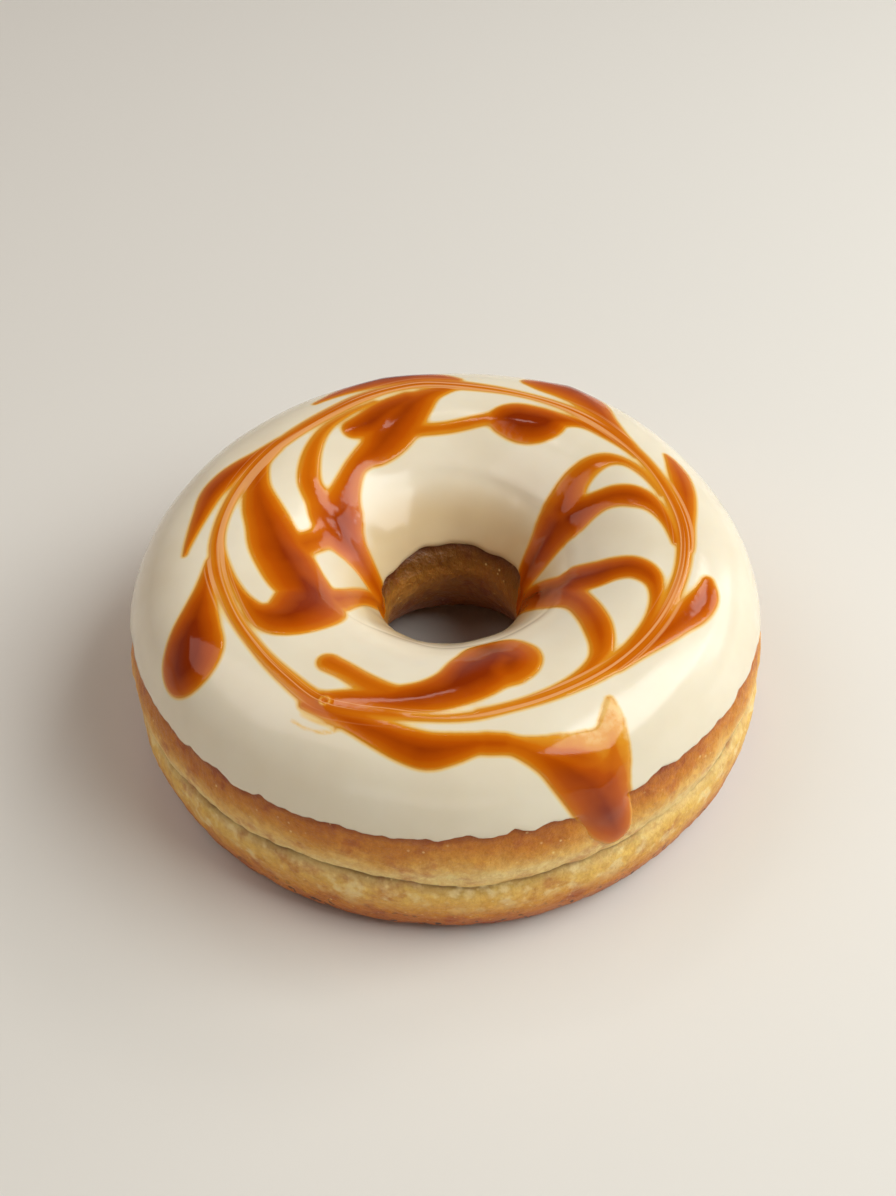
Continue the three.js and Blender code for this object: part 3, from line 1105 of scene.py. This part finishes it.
    def relief(self, kind: Relief, below: Socket | None = None) -> Socket:
        """Raises fine relief on the surface.

        Args:
            kind: The relief.
            below: The normal of any relief already there.

        Returns:
            The normal.
        """
        node = self.tree.nodes.new("ShaderNodeBump")
        node.inputs["Distance"].default_value = kind.depth
        self.tree.links.new(self.noise(kind.grain, kind.detail, kind.rough), node.inputs["Height"])
        if below is not None:
            self.tree.links.new(below, node.inputs["Normal"])
        return node.outputs["Normal"]


@dataclass(frozen=True)
class CaramelColours:
    """The colours of icing and caramel by depth, and the streaks combed along the thin ring.

    The richness varies in clouds, from the least share of it upwards over the range, and
    films are worn pale in blotches. The clouds' grain and the streaks' length are in metres;
    the streaks' width and fade, across the ring, are in millimetres.
    """

    icing: Colour = pigment(237, 226, 201)
    stain: Colour = pigment(240, 205, 134)
    film: Colour = pigment(220, 146, 36)
    amber: Colour = pigment(204, 106, 6)
    brown: Colour = pigment(182, 78, 0)
    dark: Colour = pigment(136, 44, 0)
    streak: Colour = pigment(232, 166, 106)
    cloud_grain: float = 0.006
    cloud_range: float = 0.9
    cloud_least: float = 0.55
    film_richness: Span = (0.05, 0.5)
    film_wear: Blotches = Blotches(0.0016, 3.0, 0.38, 0.62)
    film_paleness: float = 0.16
    streak_length: float = 0.045
    streak_width: float = 0.52
    streak_detail: float = 1.5
    streak_lines: Span = (0.5, 0.6)
    streak_fade: Span = (0.9, 2.4)
    streak_depth: Span = (-0.1, 0.25)
    streak_strength: float = 0.8

    def stops(self) -> tuple[tuple[float, Colour], ...]:
        """Lists the colours by depth.

        Returns:
            Depths, in millimetres times richness, each with its colour.
        """
        return (
            (-0.5, self.icing),
            (-0.2, self.stain),
            (0.04, self.film),
            (0.5, self.amber),
            (1.6, self.brown),
            (4.0, self.dark),
        )

    def _shown_depth(self, board: NodeBoard, depth: Socket) -> Socket:
        """Works out the depth that the caramel looks, by its richness and its unevenness.

        Args:
            board: The material's nodes.
            depth: The true depth.

        Returns:
            The depth to colour, in millimetres times richness.
        """
        richness = board.attribute("richness")
        cloud = board.times(board.noise(self.cloud_grain), self.cloud_range)
        rich = board.times(richness, board.plus(cloud, self.cloud_least))
        inside = board.times(board.maths("MAXIMUM", depth, 0.0), rich)
        shown = board.plus(inside, board.maths("MINIMUM", depth, 0.0))
        film_share = board.rest_of(board.spread(richness, *self.film_richness))
        worn = board.times(film_share, board.blotches(self.film_wear))
        return board.maths("SUBTRACT", shown, board.times(worn, self.film_paleness))

    def _streaks(self, board: NodeBoard, depth: Socket) -> Socket:
        """Finds the pale streaks that the skewer combed along the thin ring.

        Args:
            board: The material's nodes.
            depth: The depth in the caramel.

        Returns:
            How much each place belongs to a streak, from 0 to 1.
        """
        across = board.attribute("off_ring")
        combed = board.combed(across, self.streak_length, self.streak_width)
        lines = board.noise(1.0, self.streak_detail, at=combed)
        lines = board.spread(lines, *self.streak_lines, True)
        off_ring = board.spread(board.maths("ABSOLUTE", across), *self.streak_fade, True)
        on_ring = board.times(lines, board.rest_of(off_ring))
        return board.times(on_ring, board.spread(depth, *self.streak_depth))

    def paint(self, board: NodeBoard, least_depth: float) -> Socket:
        """Colours a surface by its depth in the caramel.

        Args:
            board: The material's nodes.
            least_depth: The depth that anything shallower is coloured as.

        Returns:
            The colour.
        """
        depth = board.maths("MAXIMUM", board.attribute("depth"), least_depth)
        base = board.ramp(self._shown_depth(board, depth), self.stops())
        streaks = board.times(self._streaks(board, depth), self.streak_strength)
        return board.mix(streaks, base, self.streak)


@dataclass(frozen=True)
class CaramelFinish:
    """Glossy caramel, yellow where it is a film and deep brown where it is thick."""

    colours: CaramelColours = CaramelColours()
    least_depth: float = 0.0
    gloss: float = 0.1
    ripple: Relief = Relief(0.0022, 0.00004)

    def material(self) -> bpy.types.Material:
        """Makes the material.

        Returns:
            The material, for a piece that knows its depth, richness and off_ring.
        """
        board = NodeBoard("glossy_caramel")
        board.set(
            Base_Color=self.colours.paint(board, self.least_depth),
            Roughness=self.gloss,
            IOR=1.4,
            Specular_IOR_Level=0.4,
            Normal=board.relief(self.ripple),
        )
        return board.material


@dataclass(frozen=True)
class IcingFinish:
    """Set white icing: glossy warm cream, stained where caramel bleeds into it, painted shade in
    the hole.
    """

    colours: CaramelColours = CaramelColours()
    least_depth: float = -1.0
    cloud: Layer = Layer(pigment(232, 220, 202), 0.3, Blotches(0.012, 3.0, 0.35, 0.7))
    # Painted shade: the icing darkened and yellowed down in the hole.
    painted_hole_shade: Layer = Layer(pigment(231, 209, 165), 0.7)
    hole_shade_reaches: Span = (9.0, 17.0)
    gloss: float = 0.17
    wave: Relief = Relief(0.004, 0.00004)

    def material(self) -> bpy.types.Material:
        """Makes the material.

        Returns:
            The material, for a piece that knows its reach, depth, richness and off_ring.
        """
        board = NodeBoard("set_white_icing")
        clear_of_hole_shade = board.spread(board.attribute("reach"), *self.hole_shade_reaches, True)
        colour = board.lay(self.colours.paint(board, self.least_depth), self.cloud)
        # Painted shade down in the hole.
        colour = board.lay(colour, self.painted_hole_shade, board.rest_of(clear_of_hole_shade))
        board.set(
            Base_Color=colour,
            Roughness=self.gloss,
            IOR=1.45,
            Subsurface_Weight=0.15,
            Subsurface_Radius=(1.0, 0.75, 0.45),
            Subsurface_Scale=0.0010,
            Normal=board.relief(self.wave),
        )
        return board.material


@dataclass(frozen=True)
class CrustFinish:
    """Fried crust in bands: brown above, a pale proof line, golden below, and specks.

    The bands drift and fray by as many millimetres of reach as given. Shade is painted into the
    crease and just under it, and a painted shadow lies under the icing's lip.
    """

    drift: float = 4.4
    drift_cloud: Blotches = Blotches(0.006, 3.0, 0.0, 1.0)
    fray: float = 1.8
    fray_cloud: Blotches = Blotches(0.0014, 3.0, 0.0, 1.0, rough=0.6)
    mottle: Layer = Layer(
        pigment(212, 170, 110), 0.45, Blotches(0.0011, 4.0, 0.36, 0.64, rough=0.7)
    )
    blister: Layer = Layer(
        pigment(202, 116, 40), 0.55, Blotches(0.0042, 4.0, 0.5, 0.68, rough=0.6, smooth=True)
    )
    # Painted shade: the crust darkened in the crease and in its shadow just below it.
    painted_crease_shade: Layer = Layer(pigment(140, 116, 54))
    specks: Layer = Layer(pigment(250, 218, 146), 0.7, Blotches(0.004, 2.0, 0.4, 0.55), Blend.COVER)
    speck_grain: float = 0.0017
    speck_size: Span = (0.05, 0.15)
    cream: Layer = Layer(
        pigment(255, 232, 168), 0.6, Blotches(0.0024, 3.0, 0.5, 0.66, smooth=True), Blend.COVER
    )
    cream_starts: Span = (58.0, 59.0)
    cream_ends: Span = (61.5, 65.0)
    # Painted shadow: the crust darkened just past the icing's edges, under its lip.
    painted_lip_shadow: Layer = Layer(pigment(178, 100, 52), 0.55)
    painted_lip_shadow_run: float = 1.1
    burnt: Layer = Layer(
        pigment(64, 30, 12), 1.0, Blotches(0.0012, 2.0, 0.6, 0.65, smooth=True), Blend.COVER
    )
    burnt_starts: Span = (63.5, 68.0)
    roughness: float = 0.43
    fine: Relief = Relief(0.0005, 0.00021, 4.0, 0.65)
    coarse: Relief = Relief(0.0017, 0.0004, 3.0)

    def bands(self) -> tuple[tuple[float, Colour], ...]:
        """Lists the crust's colours.

        Returns:
            Reaches in rising order, each with its colour.
        """
        return (
            (-18.0, pigment(150, 86, 28)),
            (-8.0, pigment(168, 100, 34)),
            (-2.5, pigment(192, 132, 60)),
            (0.5, pigment(172, 114, 38)),
            (2.2, pigment(136, 86, 20)),
            (5.0, pigment(116, 70, 16)),
            (46.0, pigment(168, 92, 14)),
            (49.5, pigment(198, 116, 20)),
            (51.5, pigment(214, 136, 34)),
            (53.2, pigment(230, 164, 62)),
            (54.8, pigment(248, 202, 110)),
            (56.4, pigment(255, 226, 150)),
            (58.6, pigment(255, 220, 138)),
            (60.0, pigment(248, 206, 104)),
            (62.0, pigment(244, 192, 86)),
            (64.0, pigment(232, 164, 58)),
            (66.0, pigment(212, 128, 34)),
            (69.0, pigment(188, 98, 20)),
            (74.0, pigment(148, 74, 22)),
            (95.0, pigment(132, 68, 24)),
        )

    def _banded(self, board: NodeBoard, reach: Socket) -> Socket:
        """Lays the bands, with drifting and fraying edges.

        Args:
            board: The material's nodes.
            reach: The reach.

        Returns:
            The colour.
        """
        for size, cloud in ((self.drift, self.drift_cloud), (self.fray, self.fray_cloud)):
            offset = board.maths("SUBTRACT", board.blotches(cloud), 0.5)
            reach = board.plus(reach, board.times(offset, size))
        return board.ramp(reach, self.bands())

    def material(self) -> bpy.types.Material:
        """Makes the material.

        Returns:
            The material, for a piece that knows its reach, crease and past_icing.
        """
        board = NodeBoard("golden_crust")
        reach = board.attribute("reach")
        dots = board.dots(self.speck_grain, *self.speck_size)
        past_start = board.spread(reach, *self.cream_starts)
        low_side = board.maths("SUBTRACT", past_start, board.spread(reach, *self.cream_ends))
        from_lip = board.spread(board.attribute("past_icing"), 0.0, self.painted_lip_shadow_run)
        colour = board.lay(self._banded(board, reach), self.mottle)
        colour = board.lay(colour, self.blister)
        # Painted shade in the crease and just under it.
        colour = board.lay(colour, self.painted_crease_shade, board.attribute("crease"))
        colour = board.lay(colour, self.specks, dots)
        colour = board.lay(colour, self.cream, low_side)
        # Painted shadow under the icing's lip.
        colour = board.lay(colour, self.painted_lip_shadow, board.rest_of(from_lip))
        colour = board.lay(colour, self.burnt, board.spread(reach, *self.burnt_starts, True))
        board.set(
            Base_Color=colour,
            Roughness=self.roughness,
            Specular_IOR_Level=0.5,
            Subsurface_Weight=0.1,
            Subsurface_Radius=(1.0, 0.5, 0.2),
            Subsurface_Scale=0.001,
            Normal=board.relief(self.coarse, board.relief(self.fine)),
        )
        return board.material


@dataclass(frozen=True)
class ProofCrease:
    """The crease round the proof line, strongest in front and broken elsewhere, and its painted
    shade.
    """

    reach: float = 57.7
    sag: float = 1.5
    sag_bearing: float = -88.0
    sag_half_width: float = 14.0
    wobble: tuple[Ripple, ...] = ((5, 0.3, 0.9), (17, 0.14, 2.0), (41, 0.08, 0.0))
    faintest: float = 0.1
    front_bearing: float = -106.0
    front_cosines: Span = (0.5, 0.8)
    front_strength: float = 0.75
    front_flicker: Ripple = (23, 0.15, 0.0)
    breaks: tuple[Ripple, ...] = ((1, 0.5, 2.9), (5, 0.5, 3.9), (11, 0.5, 2.0))
    breaks_range: Span = (0.0, 1.4)
    broken_strength: float = 0.5
    groove_half_width: float = 0.38
    painted_shadow_half_width: float = 1.3
    painted_shadow_strength: float = 0.5
    pinch_half_width: float = 2.1
    groove_depth: float = 0.4
    pinch_depth: float = 0.55

    def below(self, at: Places) -> np.ndarray:
        """Measures how far below the crease each place is.

        Args:
            at: The places.

        Returns:
            Millimetres below it, negative above it.
        """
        sag = self.sag * hump(at.past(self.sag_bearing), self.sag_half_width)
        return at.reach - (self.reach + ripples(at.angle, self.wobble) + sag)

    def strength(self, at: Places) -> np.ndarray:
        """Says how strongly the crease is drawn.

        Args:
            at: The places, of which the bearings count.

        Returns:
            Its strength at the bearing of each, from 0 to 1.
        """
        in_front = eased(np.cos(at.angle - math.radians(self.front_bearing)), *self.front_cosines)
        front = in_front * (self.front_strength + ripples(at.angle, (self.front_flicker,)))
        broken = eased(ripples(at.angle, self.breaks), *self.breaks_range)
        return self.faintest + np.maximum(front, self.broken_strength * broken)

    def lift(self, at: Places) -> np.ndarray:
        """Draws the skin in at the crease, and more gently round it.

        Args:
            at: The places.

        Returns:
            Their lifts.
        """
        below = self.below(at)
        groove = self.strength(at) * hump(below, self.groove_half_width)
        return -self.groove_depth * groove - self.pinch_depth * hump(below, self.pinch_half_width)

    def shade(self, at: Places) -> np.ndarray:
        """Paints shade into the crust in the crease, and a painted shadow just under it.

        Args:
            at: The places.

        Returns:
            How dark the painted shade makes each place, from 0 to 1.
        """
        below = self.below(at)
        under = self.painted_shadow_strength * hump(below, self.painted_shadow_half_width) * (below > 0.0)
        return self.strength(at) * np.maximum(hump(below, self.groove_half_width), under)


@dataclass
class DoughRing:
    """The baked ring: fine where it shows, and plain and sunken under the icing.

    The dough sinks out of the icing's way over one span of reaches and rises again over the
    other. A wrinkle is a height in millimetres and a pitch, in wrinkles a millimetre.
    """

    handwork: Handwork
    edges: IcingEdges
    crease: ProofCrease = ProofCrease()
    columns: int = 480
    hole_shows_to: float = 6.0
    side_shows_from: float = 46.0
    hole_step: float = 0.6
    hidden_step: float = 2.2
    fine_step: float = 0.32
    base_step: float = 1.6
    sinks: Span = (4.5, 9.0)
    rises: Span = (44.0, 49.0)
    sunken_by: float = 0.9
    wrinkles: tuple[Reading, ...] = ((0.20, 0.16), (0.16, 0.45), (0.10, 1.0), (0.07, 2.1))
    base_outer_blend: float = 1.0
    base_inner_blend: float = 2.0

    def profile(self) -> list[Reading]:
        """Lists the points of the section.

        Returns:
            The reach and the lift of each.
        """
        section = self.handwork.section
        reaches = spaced(section.first_reach, self.hole_shows_to, self.hole_step)
        reaches += spaced(self.hole_shows_to, self.side_shows_from, self.hidden_step)
        reaches += spaced(self.side_shows_from, section.base_reach, self.fine_step)
        reaches += spaced(section.base_reach, section.last_reach, self.base_step)
        return [(reach, 0.0) for reach in reaches]

    def _wrinkled(self, net: SkinNet) -> np.ndarray:
        """Wrinkles the crust where it shows.

        Args:
            net: The net.

        Returns:
            The wrinkles' lift at each of its vertices.
        """
        shows = (net.reach < self.hole_shows_to) | (net.reach > self.side_shows_from)
        places = self.handwork.place(net.at, 0.0) / self.handwork.section.unit
        lifts = np.zeros(len(net.reach))
        for i in np.nonzero(shows)[0]:
            at = Vector(places[i])
            lifts[i] = sum(size * noise.noise(at * pitch) for size, pitch in self.wrinkles)
        return lifts

    def _lift(self, net: SkinNet) -> np.ndarray:
        """Shapes the crust: sunken under the icing, creased, wrinkled, and flat on its base.

        Args:
            net: The net.

        Returns:
            The lift of each of its vertices.
        """
        section = self.handwork.section
        under = eased(net.reach, *self.sinks) * (1.0 - eased(net.reach, *self.rises))
        lift = self.edges.dough_lift(net.at) - self.sunken_by * under
        lift = lift + self.crease.lift(net.at) + self._wrinkled(net)
        base = section.base_reach
        before_base = 1.0 - eased(net.reach, base - self.base_outer_blend, base)
        foot = section.first_reach
        return lift * before_base * eased(net.reach, foot, foot + self.base_inner_blend)

    def build(self, material: bpy.types.Material) -> bpy.types.Object:
        """Builds the ring.

        Args:
            material: The crust's finish.

        Returns:
            The piece.
        """
        net = SkinNet(self.handwork, self.profile(), self.columns, closed=True)
        net.lift = self._lift(net)
        net.settle()
        # The crease attribute carries painted shade: darker crust in the crease and just under it.
        net.remember("crease", self.crease.shade(net.at))
        net.remember("past_icing", self.edges.past(net.at))
        piece = net.piece("baked_dough_ring", material)
        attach(piece, "root")
        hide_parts("dough_ring")
        return piece


@dataclass
class WhiteIcing:
    """The set icing: a shell with rounded lips that sits on the dough."""

    handwork: Handwork
    edges: IcingEdges
    web: CaramelWeb
    columns: int = 540
    top_step: float = 0.36
    under_step: float = 3.0
    lip_round: float = 1.0
    lip_parts: int = 7
    tuck_in: float = 0.5
    tuck_down: float = 0.35
    thickness: float = 1.3
    under_inner_inset: float = 5.0
    under_outer_inset: float = 4.0
    shift_start: float = 0.4
    shift_run: float = 5.0

    def profile(self) -> list[Reading]:
        """Lists the points of the shell's section, over the top and back underneath.

        Returns:
            The reach and the lift of each.
        """
        inner = self.edges.inner_reach
        outer = self.edges.outer_reach
        depth = self.edges.lip_depth
        turns = [part / self.lip_parts * QUARTER_ANGLE for part in range(1, self.lip_parts + 1)]
        lip = [(self.lip_round * (1.0 - math.sin(t)), -depth * (1.0 - math.cos(t))) for t in turns]
        tucked = -depth - self.tuck_down
        points = [(inner + inset, lift) for inset, lift in reversed(lip)]
        top = spaced(inner + self.lip_round, outer - self.lip_round, self.top_step)
        points += [(reach, 0.0) for reach in top]
        points += [(outer - inset, lift) for inset, lift in lip]
        points += [(outer - self.tuck_in, tucked)]
        under = spaced(
            inner + self.under_inner_inset, outer - self.under_outer_inset, self.under_step
        )
        points += [(reach, -self.thickness) for reach in reversed(under)]
        points += [(inner + self.tuck_in, tucked)]
        return points

    def _edge_shift(self, net: SkinNet) -> np.ndarray:
        """Draws the shell's rows out to the wavy edges.

        Args:
            net: The net.

        Returns:
            How far each of its vertices moves along its reach.
        """
        inner = self.edges.inner_reach
        outer = self.edges.outer_reach
        near_outer = eased(net.reach, outer - self.shift_run, outer - self.shift_start)
        near_inner = 1.0 - eased(net.reach, inner + self.shift_start, inner + self.shift_run)
        shift = (self.edges.outer(net.at) - outer) * near_outer
        return shift + (self.edges.inner(net.at) - inner) * near_inner

    def build(self, material: bpy.types.Material) -> bpy.types.Object:
        """Builds the shell.

        Args:
            material: The icing's finish.

        Returns:
            The piece.
        """
        net = SkinNet(self.handwork, self.profile(), self.columns, closed=True)
        net.reach = net.reach + self._edge_shift(net)
        on_top = 1.0 - eased(-net.lift, 0.0, self.edges.lip_depth)
        net.lift = net.lift + self.edges.swell(net.at) * on_top
        net.settle()
        self.web.mark(net, *self.web.measure(net.at))
        piece = net.piece("set_icing_shell", material)
        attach(piece, "root")
        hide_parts("white_icing")
        return piece


@dataclass(frozen=True)
class Bubble:
    """The one small air bubble that stands in the ring where its two ends cross."""

    bearing: float = -118.2
    reach: float = 33.0
    radius: float = 0.62
    wall: float = 0.24
    height: float = 0.16
    kept_from: float = 0.02

    def rim(self, section: RingSection, at: Places) -> np.ndarray:
        """Says how much each place belongs to the bubble's rim.

        Args:
            section: The ring's section.
            at: The places.

        Returns:
            Shares from 0 to 1.
        """
        across = np.radians(at.past(self.bearing)) * section.radius_at(at.reach)
        distance = np.hypot(across, at.reach - self.reach)
        return hump(distance - self.radius, self.wall)


@dataclass
class CaramelDrizzle:
    """The caramel: a domed skin over every stroke, closed underneath inside the icing.

    The film rises to its full height near its edge, and domes higher where it is deep. The
    skirt is how far past the edge it runs on, down into the icing.
    """

    handwork: Handwork
    edges: IcingEdges
    web: CaramelWeb
    bubble: Bubble = Bubble()
    columns: int = 640
    reach_range: Span = (-1.5, 58.5)
    ring_range: Span = (28.5, 34.5)
    coarse_step: float = 0.32
    fine_step: float = 0.22
    full_height: float = 0.2
    rise: float = 0.8
    dome_height: float = 0.35
    dome_depths: Span = (1.2, 4.6)
    overhang_depth: float = 1.6
    level_depth: float = 0.35
    level_passes: int = 18
    level_share: float = 0.5
    skirt: float = 0.5
    skirt_slope: float = 0.9
    underside: float = -0.8

    def profile(self) -> list[Reading]:
        """Lists the rows of the net, finest along the thin ring.

        Returns:
            The reach and the lift of each.
        """
        first, last = self.reach_range
        ring_first, ring_last = self.ring_range
        reaches = spaced(first, ring_first, self.coarse_step)
        reaches += spaced(ring_first, ring_last, self.fine_step)
        reaches += spaced(ring_last, last, self.coarse_step)
        return [(reach, 0.0) for reach in reaches]

    def film(self, depth: np.ndarray) -> np.ndarray:
        """Gives the caramel its height over what it lies on.

        Args:
            depth: The depth at each place.

        Returns:
            The height there in millimetres, negative past the caramel's edge.
        """
        edge = self.full_height * (1.0 - np.exp(-np.maximum(depth, 0.0) / self.rise))
        dome = self.dome_height * eased(depth, *self.dome_depths)
        return np.where(depth > 0.0, edge + dome, depth * self.skirt_slope)

    def build(self, material: bpy.types.Material) -> bpy.types.Object:
        """Builds the web.

        Args:
            material: The caramel's finish.

        Returns:
            The piece.
        """
        net = SkinNet(self.handwork, self.profile(), self.columns, closed=False)
        depth, richness = self.web.measure(net.at)
        rim = self.bubble.rim(self.handwork.section, net.at)
        overhang = eased(depth, 0.0, self.overhang_depth)
        net.lift = self.edges.surface_lift(net.at, overhang) + self.film(depth)
        net.lift += self.bubble.height * rim
        net.settle()
        self.web.mark(net, depth, richness * (1.0 - rim))
        self._slump(net, np.where(rim > self.bubble.kept_from, 0.0, depth))
        self._trim(net, depth)
        self._close_underneath(net)
        piece = net.piece("caramel_web", material)
        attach(piece, "root")
        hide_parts("caramel_drizzle")
        return piece

    def _slump(self, net: SkinNet, depth: np.ndarray) -> None:
        """Smooths away the ridges where strokes meet, as wet caramel levels itself.

        Args:
            net: The net.
            depth: The depth at each of its vertices.
        """
        deep = depth.tolist()
        wet = [vert for vert, value in zip(net.bm.verts, deep) if value > self.level_depth]
        axes = dict.fromkeys(("use_axis_x", "use_axis_y", "use_axis_z"), True)
        for _ in range(self.level_passes):
            bmesh.ops.smooth_vert(net.bm, verts=wet, factor=self.level_share, **axes)

    def _trim(self, net: SkinNet, depth: np.ndarray) -> None:
        """Cuts away the net beyond the caramel's edge.

        Args:
            net: The net.
            depth: The depth at each of its vertices.
        """
        for vert, value in zip(net.bm.verts, depth.tolist()):
            vert.tag = value < -self.skirt
        bare = [face for face in net.bm.faces if all(vert.tag for vert in face.verts)]
        bmesh.ops.delete(net.bm, geom=bare, context="FACES")
        loose = [vert for vert in net.bm.verts if not vert.link_faces]
        bmesh.ops.delete(net.bm, geom=loose, context="VERTS")

    def _close_underneath(self, net: SkinNet) -> None:
        """Gives the web an underside inside the icing, so that it is a closed body.

        Args:
            net: The trimmed net.
        """
        bm = net.bm
        upper = bm.faces[:]
        upward = sum(face.normal.z * face.calc_area() for face in upper)
        if upward < 0.0:
            bmesh.ops.reverse_faces(bm, faces=upper)
        made = bmesh.ops.extrude_face_region(bm, geom=upper, use_keep_orig=True)
        lower = [item for item in made["geom"] if isinstance(item, bmesh.types.BMVert)]
        at = Places(net.recall("bearing", lower), net.recall("reach", lower))
        lift = self.edges.surface_lift(at, 0.0) + self.underside
        positions = self.handwork.place(at, lift)
        for vert, position in zip(lower, positions.tolist()):
            vert.co = position
        bmesh.ops.recalc_face_normals(bm, faces=bm.faces[:])


@dataclass(frozen=True)
class Softbox:
    """A rectangular light that faces the doughnut, placed by bearing and elevation.

    Lengths are in metres, angles in degrees and the power in watts.
    """

    name: str
    bearing: float
    elevation: float
    distance: float
    width: float
    height: float
    power: float
    colour: Colour

    def hang(self, target: Vector) -> None:
        """Adds the light to the scene.

        Args:
            target: The point that it faces.
        """
        data = bpy.data.lights.new(self.name, "AREA")
        data.shape = "RECTANGLE"
        data.size = self.width
        data.size_y = self.height
        data.energy = self.power
        data.color = self.colour[:3]
        lamp = bpy.data.objects.new(self.name, data)
        turn = math.radians(self.bearing)
        rise = math.radians(self.elevation)
        level = math.cos(rise)
        direction = Vector((level * math.cos(turn), level * math.sin(turn), math.sin(rise)))
        lamp.location = target + direction * self.distance
        lamp.rotation_euler = (-direction).to_track_quat("-Z", "Y").to_euler()
        bpy.context.scene.collection.objects.link(lamp)


@dataclass
class Studio:
    """A pale floor, soft lights and the camera.

    The camera looks at a point of the doughnut, from in front and above it. Wall top and
    ceiling start are where the sky changes, as the sine of the elevation.
    """

    section: RingSection
    floor_radius: float = 2.5
    floor_sides: int = 128
    floor_colour: Colour = pigment(229, 225, 216)
    floor_roughness: float = 0.75
    horizon: Colour = pigment(186, 182, 178)
    zenith: Colour = pigment(78, 75, 73)
    sky_strength: float = 0.7
    wall_top: float = 0.12
    ceiling_start: float = 0.6
    aim: tuple[float, float, float] = (0.000475, 0.0029, 0.01736)
    camera_elevation: float = 45.47
    camera_distance: float = 0.24309
    camera_roll: float = -0.041
    near_clip: float = 0.01
    lens: float = 50.0
    sensor: float = 36.0

    def softboxes(self) -> tuple[Softbox, ...]:
        """Lists the lights.

        Returns:
            A large key and two smaller lights on the right, a small one behind, and weak
            fills on the left and in front.
        """
        return (
            Softbox("key_softbox", -12.0, 48.0, 0.60, 0.50, 0.38, 3.35, pigment(248, 252, 252)),
            Softbox("low_right_fill", 19.0, 22.0, 0.80, 0.44, 0.28, 1.1, pigment(248, 250, 255)),
            Softbox("right_window", 42.0, 42.0, 0.70, 0.24, 0.10, 0.4, pigment(255, 250, 246)),
            Softbox("back_softbox", 100.0, 60.0, 0.70, 0.12, 0.07, 0.14, pigment(255, 246, 240)),
            Softbox("left_fill", 170.0, 56.0, 0.85, 0.70, 0.46, 1.8, pigment(255, 240, 232)),
            Softbox("front_fill", -100.0, 12.0, 0.90, 0.80, 0.20, 0.5, pigment(255, 246, 236)),
        )

    def build(self) -> None:
        """Builds the floor, the sky, the lights and the camera."""
        self._floor()
        self._sky()
        target = Vector((0.0, 0.0, self.aim[2]))
        for softbox in self.softboxes():
            softbox.hang(target)
        self._camera()

    def _floor(self) -> None:
        """Lays the plain pale floor that the doughnut rests on."""
        bm = bmesh.new()
        bmesh.ops.create_circle(
            bm, cap_ends=True, segments=self.floor_sides, radius=self.floor_radius
        )
        bmesh.ops.translate(bm, verts=bm.verts[:], vec=(0.0, 0.0, self.section.ground))
        board = NodeBoard("pale_floor")
        board.set(Base_Color=self.floor_colour, Roughness=self.floor_roughness)
        floor = put_in_scene("studio_floor", bm, board.material)

    def _sky(self) -> None:
        """Sets the light from all round: pale walls under a darker ceiling."""
        world = bpy.data.worlds.new("studio_sky")
        world.use_nodes = True
        tree = world.node_tree
        background = tree.nodes["Background"]
        background.inputs["Strength"].default_value = self.sky_strength
        direction = tree.nodes.new("ShaderNodeTexCoord")
        split = tree.nodes.new("ShaderNodeSeparateXYZ")
        tree.links.new(direction.outputs["Generated"], split.inputs[0])
        fade = tree.nodes.new("ShaderNodeValToRGB")
        wall, ceiling = fade.color_ramp.elements
        wall.position = self.wall_top
        wall.color = self.horizon
        ceiling.position = self.ceiling_start
        ceiling.color = self.zenith
        tree.links.new(split.outputs["Z"], fade.inputs["Fac"])
        tree.links.new(fade.outputs["Color"], background.inputs["Color"])
        bpy.context.scene.world = world
        bpy.context.scene.view_settings.view_transform = "Standard"

    def _camera(self) -> None:
        """Sets the camera in front of the doughnut, looking down on it."""
        data = bpy.data.cameras.new("camera")
        data.lens = self.lens
        data.sensor_width = self.sensor
        data.clip_start = self.near_clip
        camera = bpy.data.objects.new("camera", data)
        rise = math.radians(self.camera_elevation)
        forward = Vector((0.0, math.cos(rise), -math.sin(rise)))
        stand = Matrix.Translation(Vector(self.aim) - forward * self.camera_distance)
        facing = forward.to_track_quat("-Z", "Y").to_matrix().to_4x4()
        camera.matrix_world = stand @ facing @ Matrix.Rotation(self.camera_roll, 4, "Z")
        bpy.context.scene.collection.objects.link(camera)
        bpy.context.scene.camera = camera


def main() -> None:
    """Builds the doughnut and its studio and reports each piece."""
    logging.basicConfig(level=logging.INFO, format="%(name)s: %(message)s")
    section = RingSection.from_frame()
    handwork = Handwork(section)
    edges = IcingEdges()
    web = CaramelWeb(section)
    Studio(section).build()
    pieces = (
        DoughRing(handwork, edges).build(CrustFinish().material()),
        WhiteIcing(handwork, edges, web).build(IcingFinish().material()),
        CaramelDrizzle(handwork, edges, web).build(CaramelFinish().material()),
    )
    for piece in pieces:
        triangles = sum(len(face.vertices) - 2 for face in piece.data.polygons)
        log.info("%s: %d triangles", piece.name, triangles)


if __name__ == "__main__":
    main()
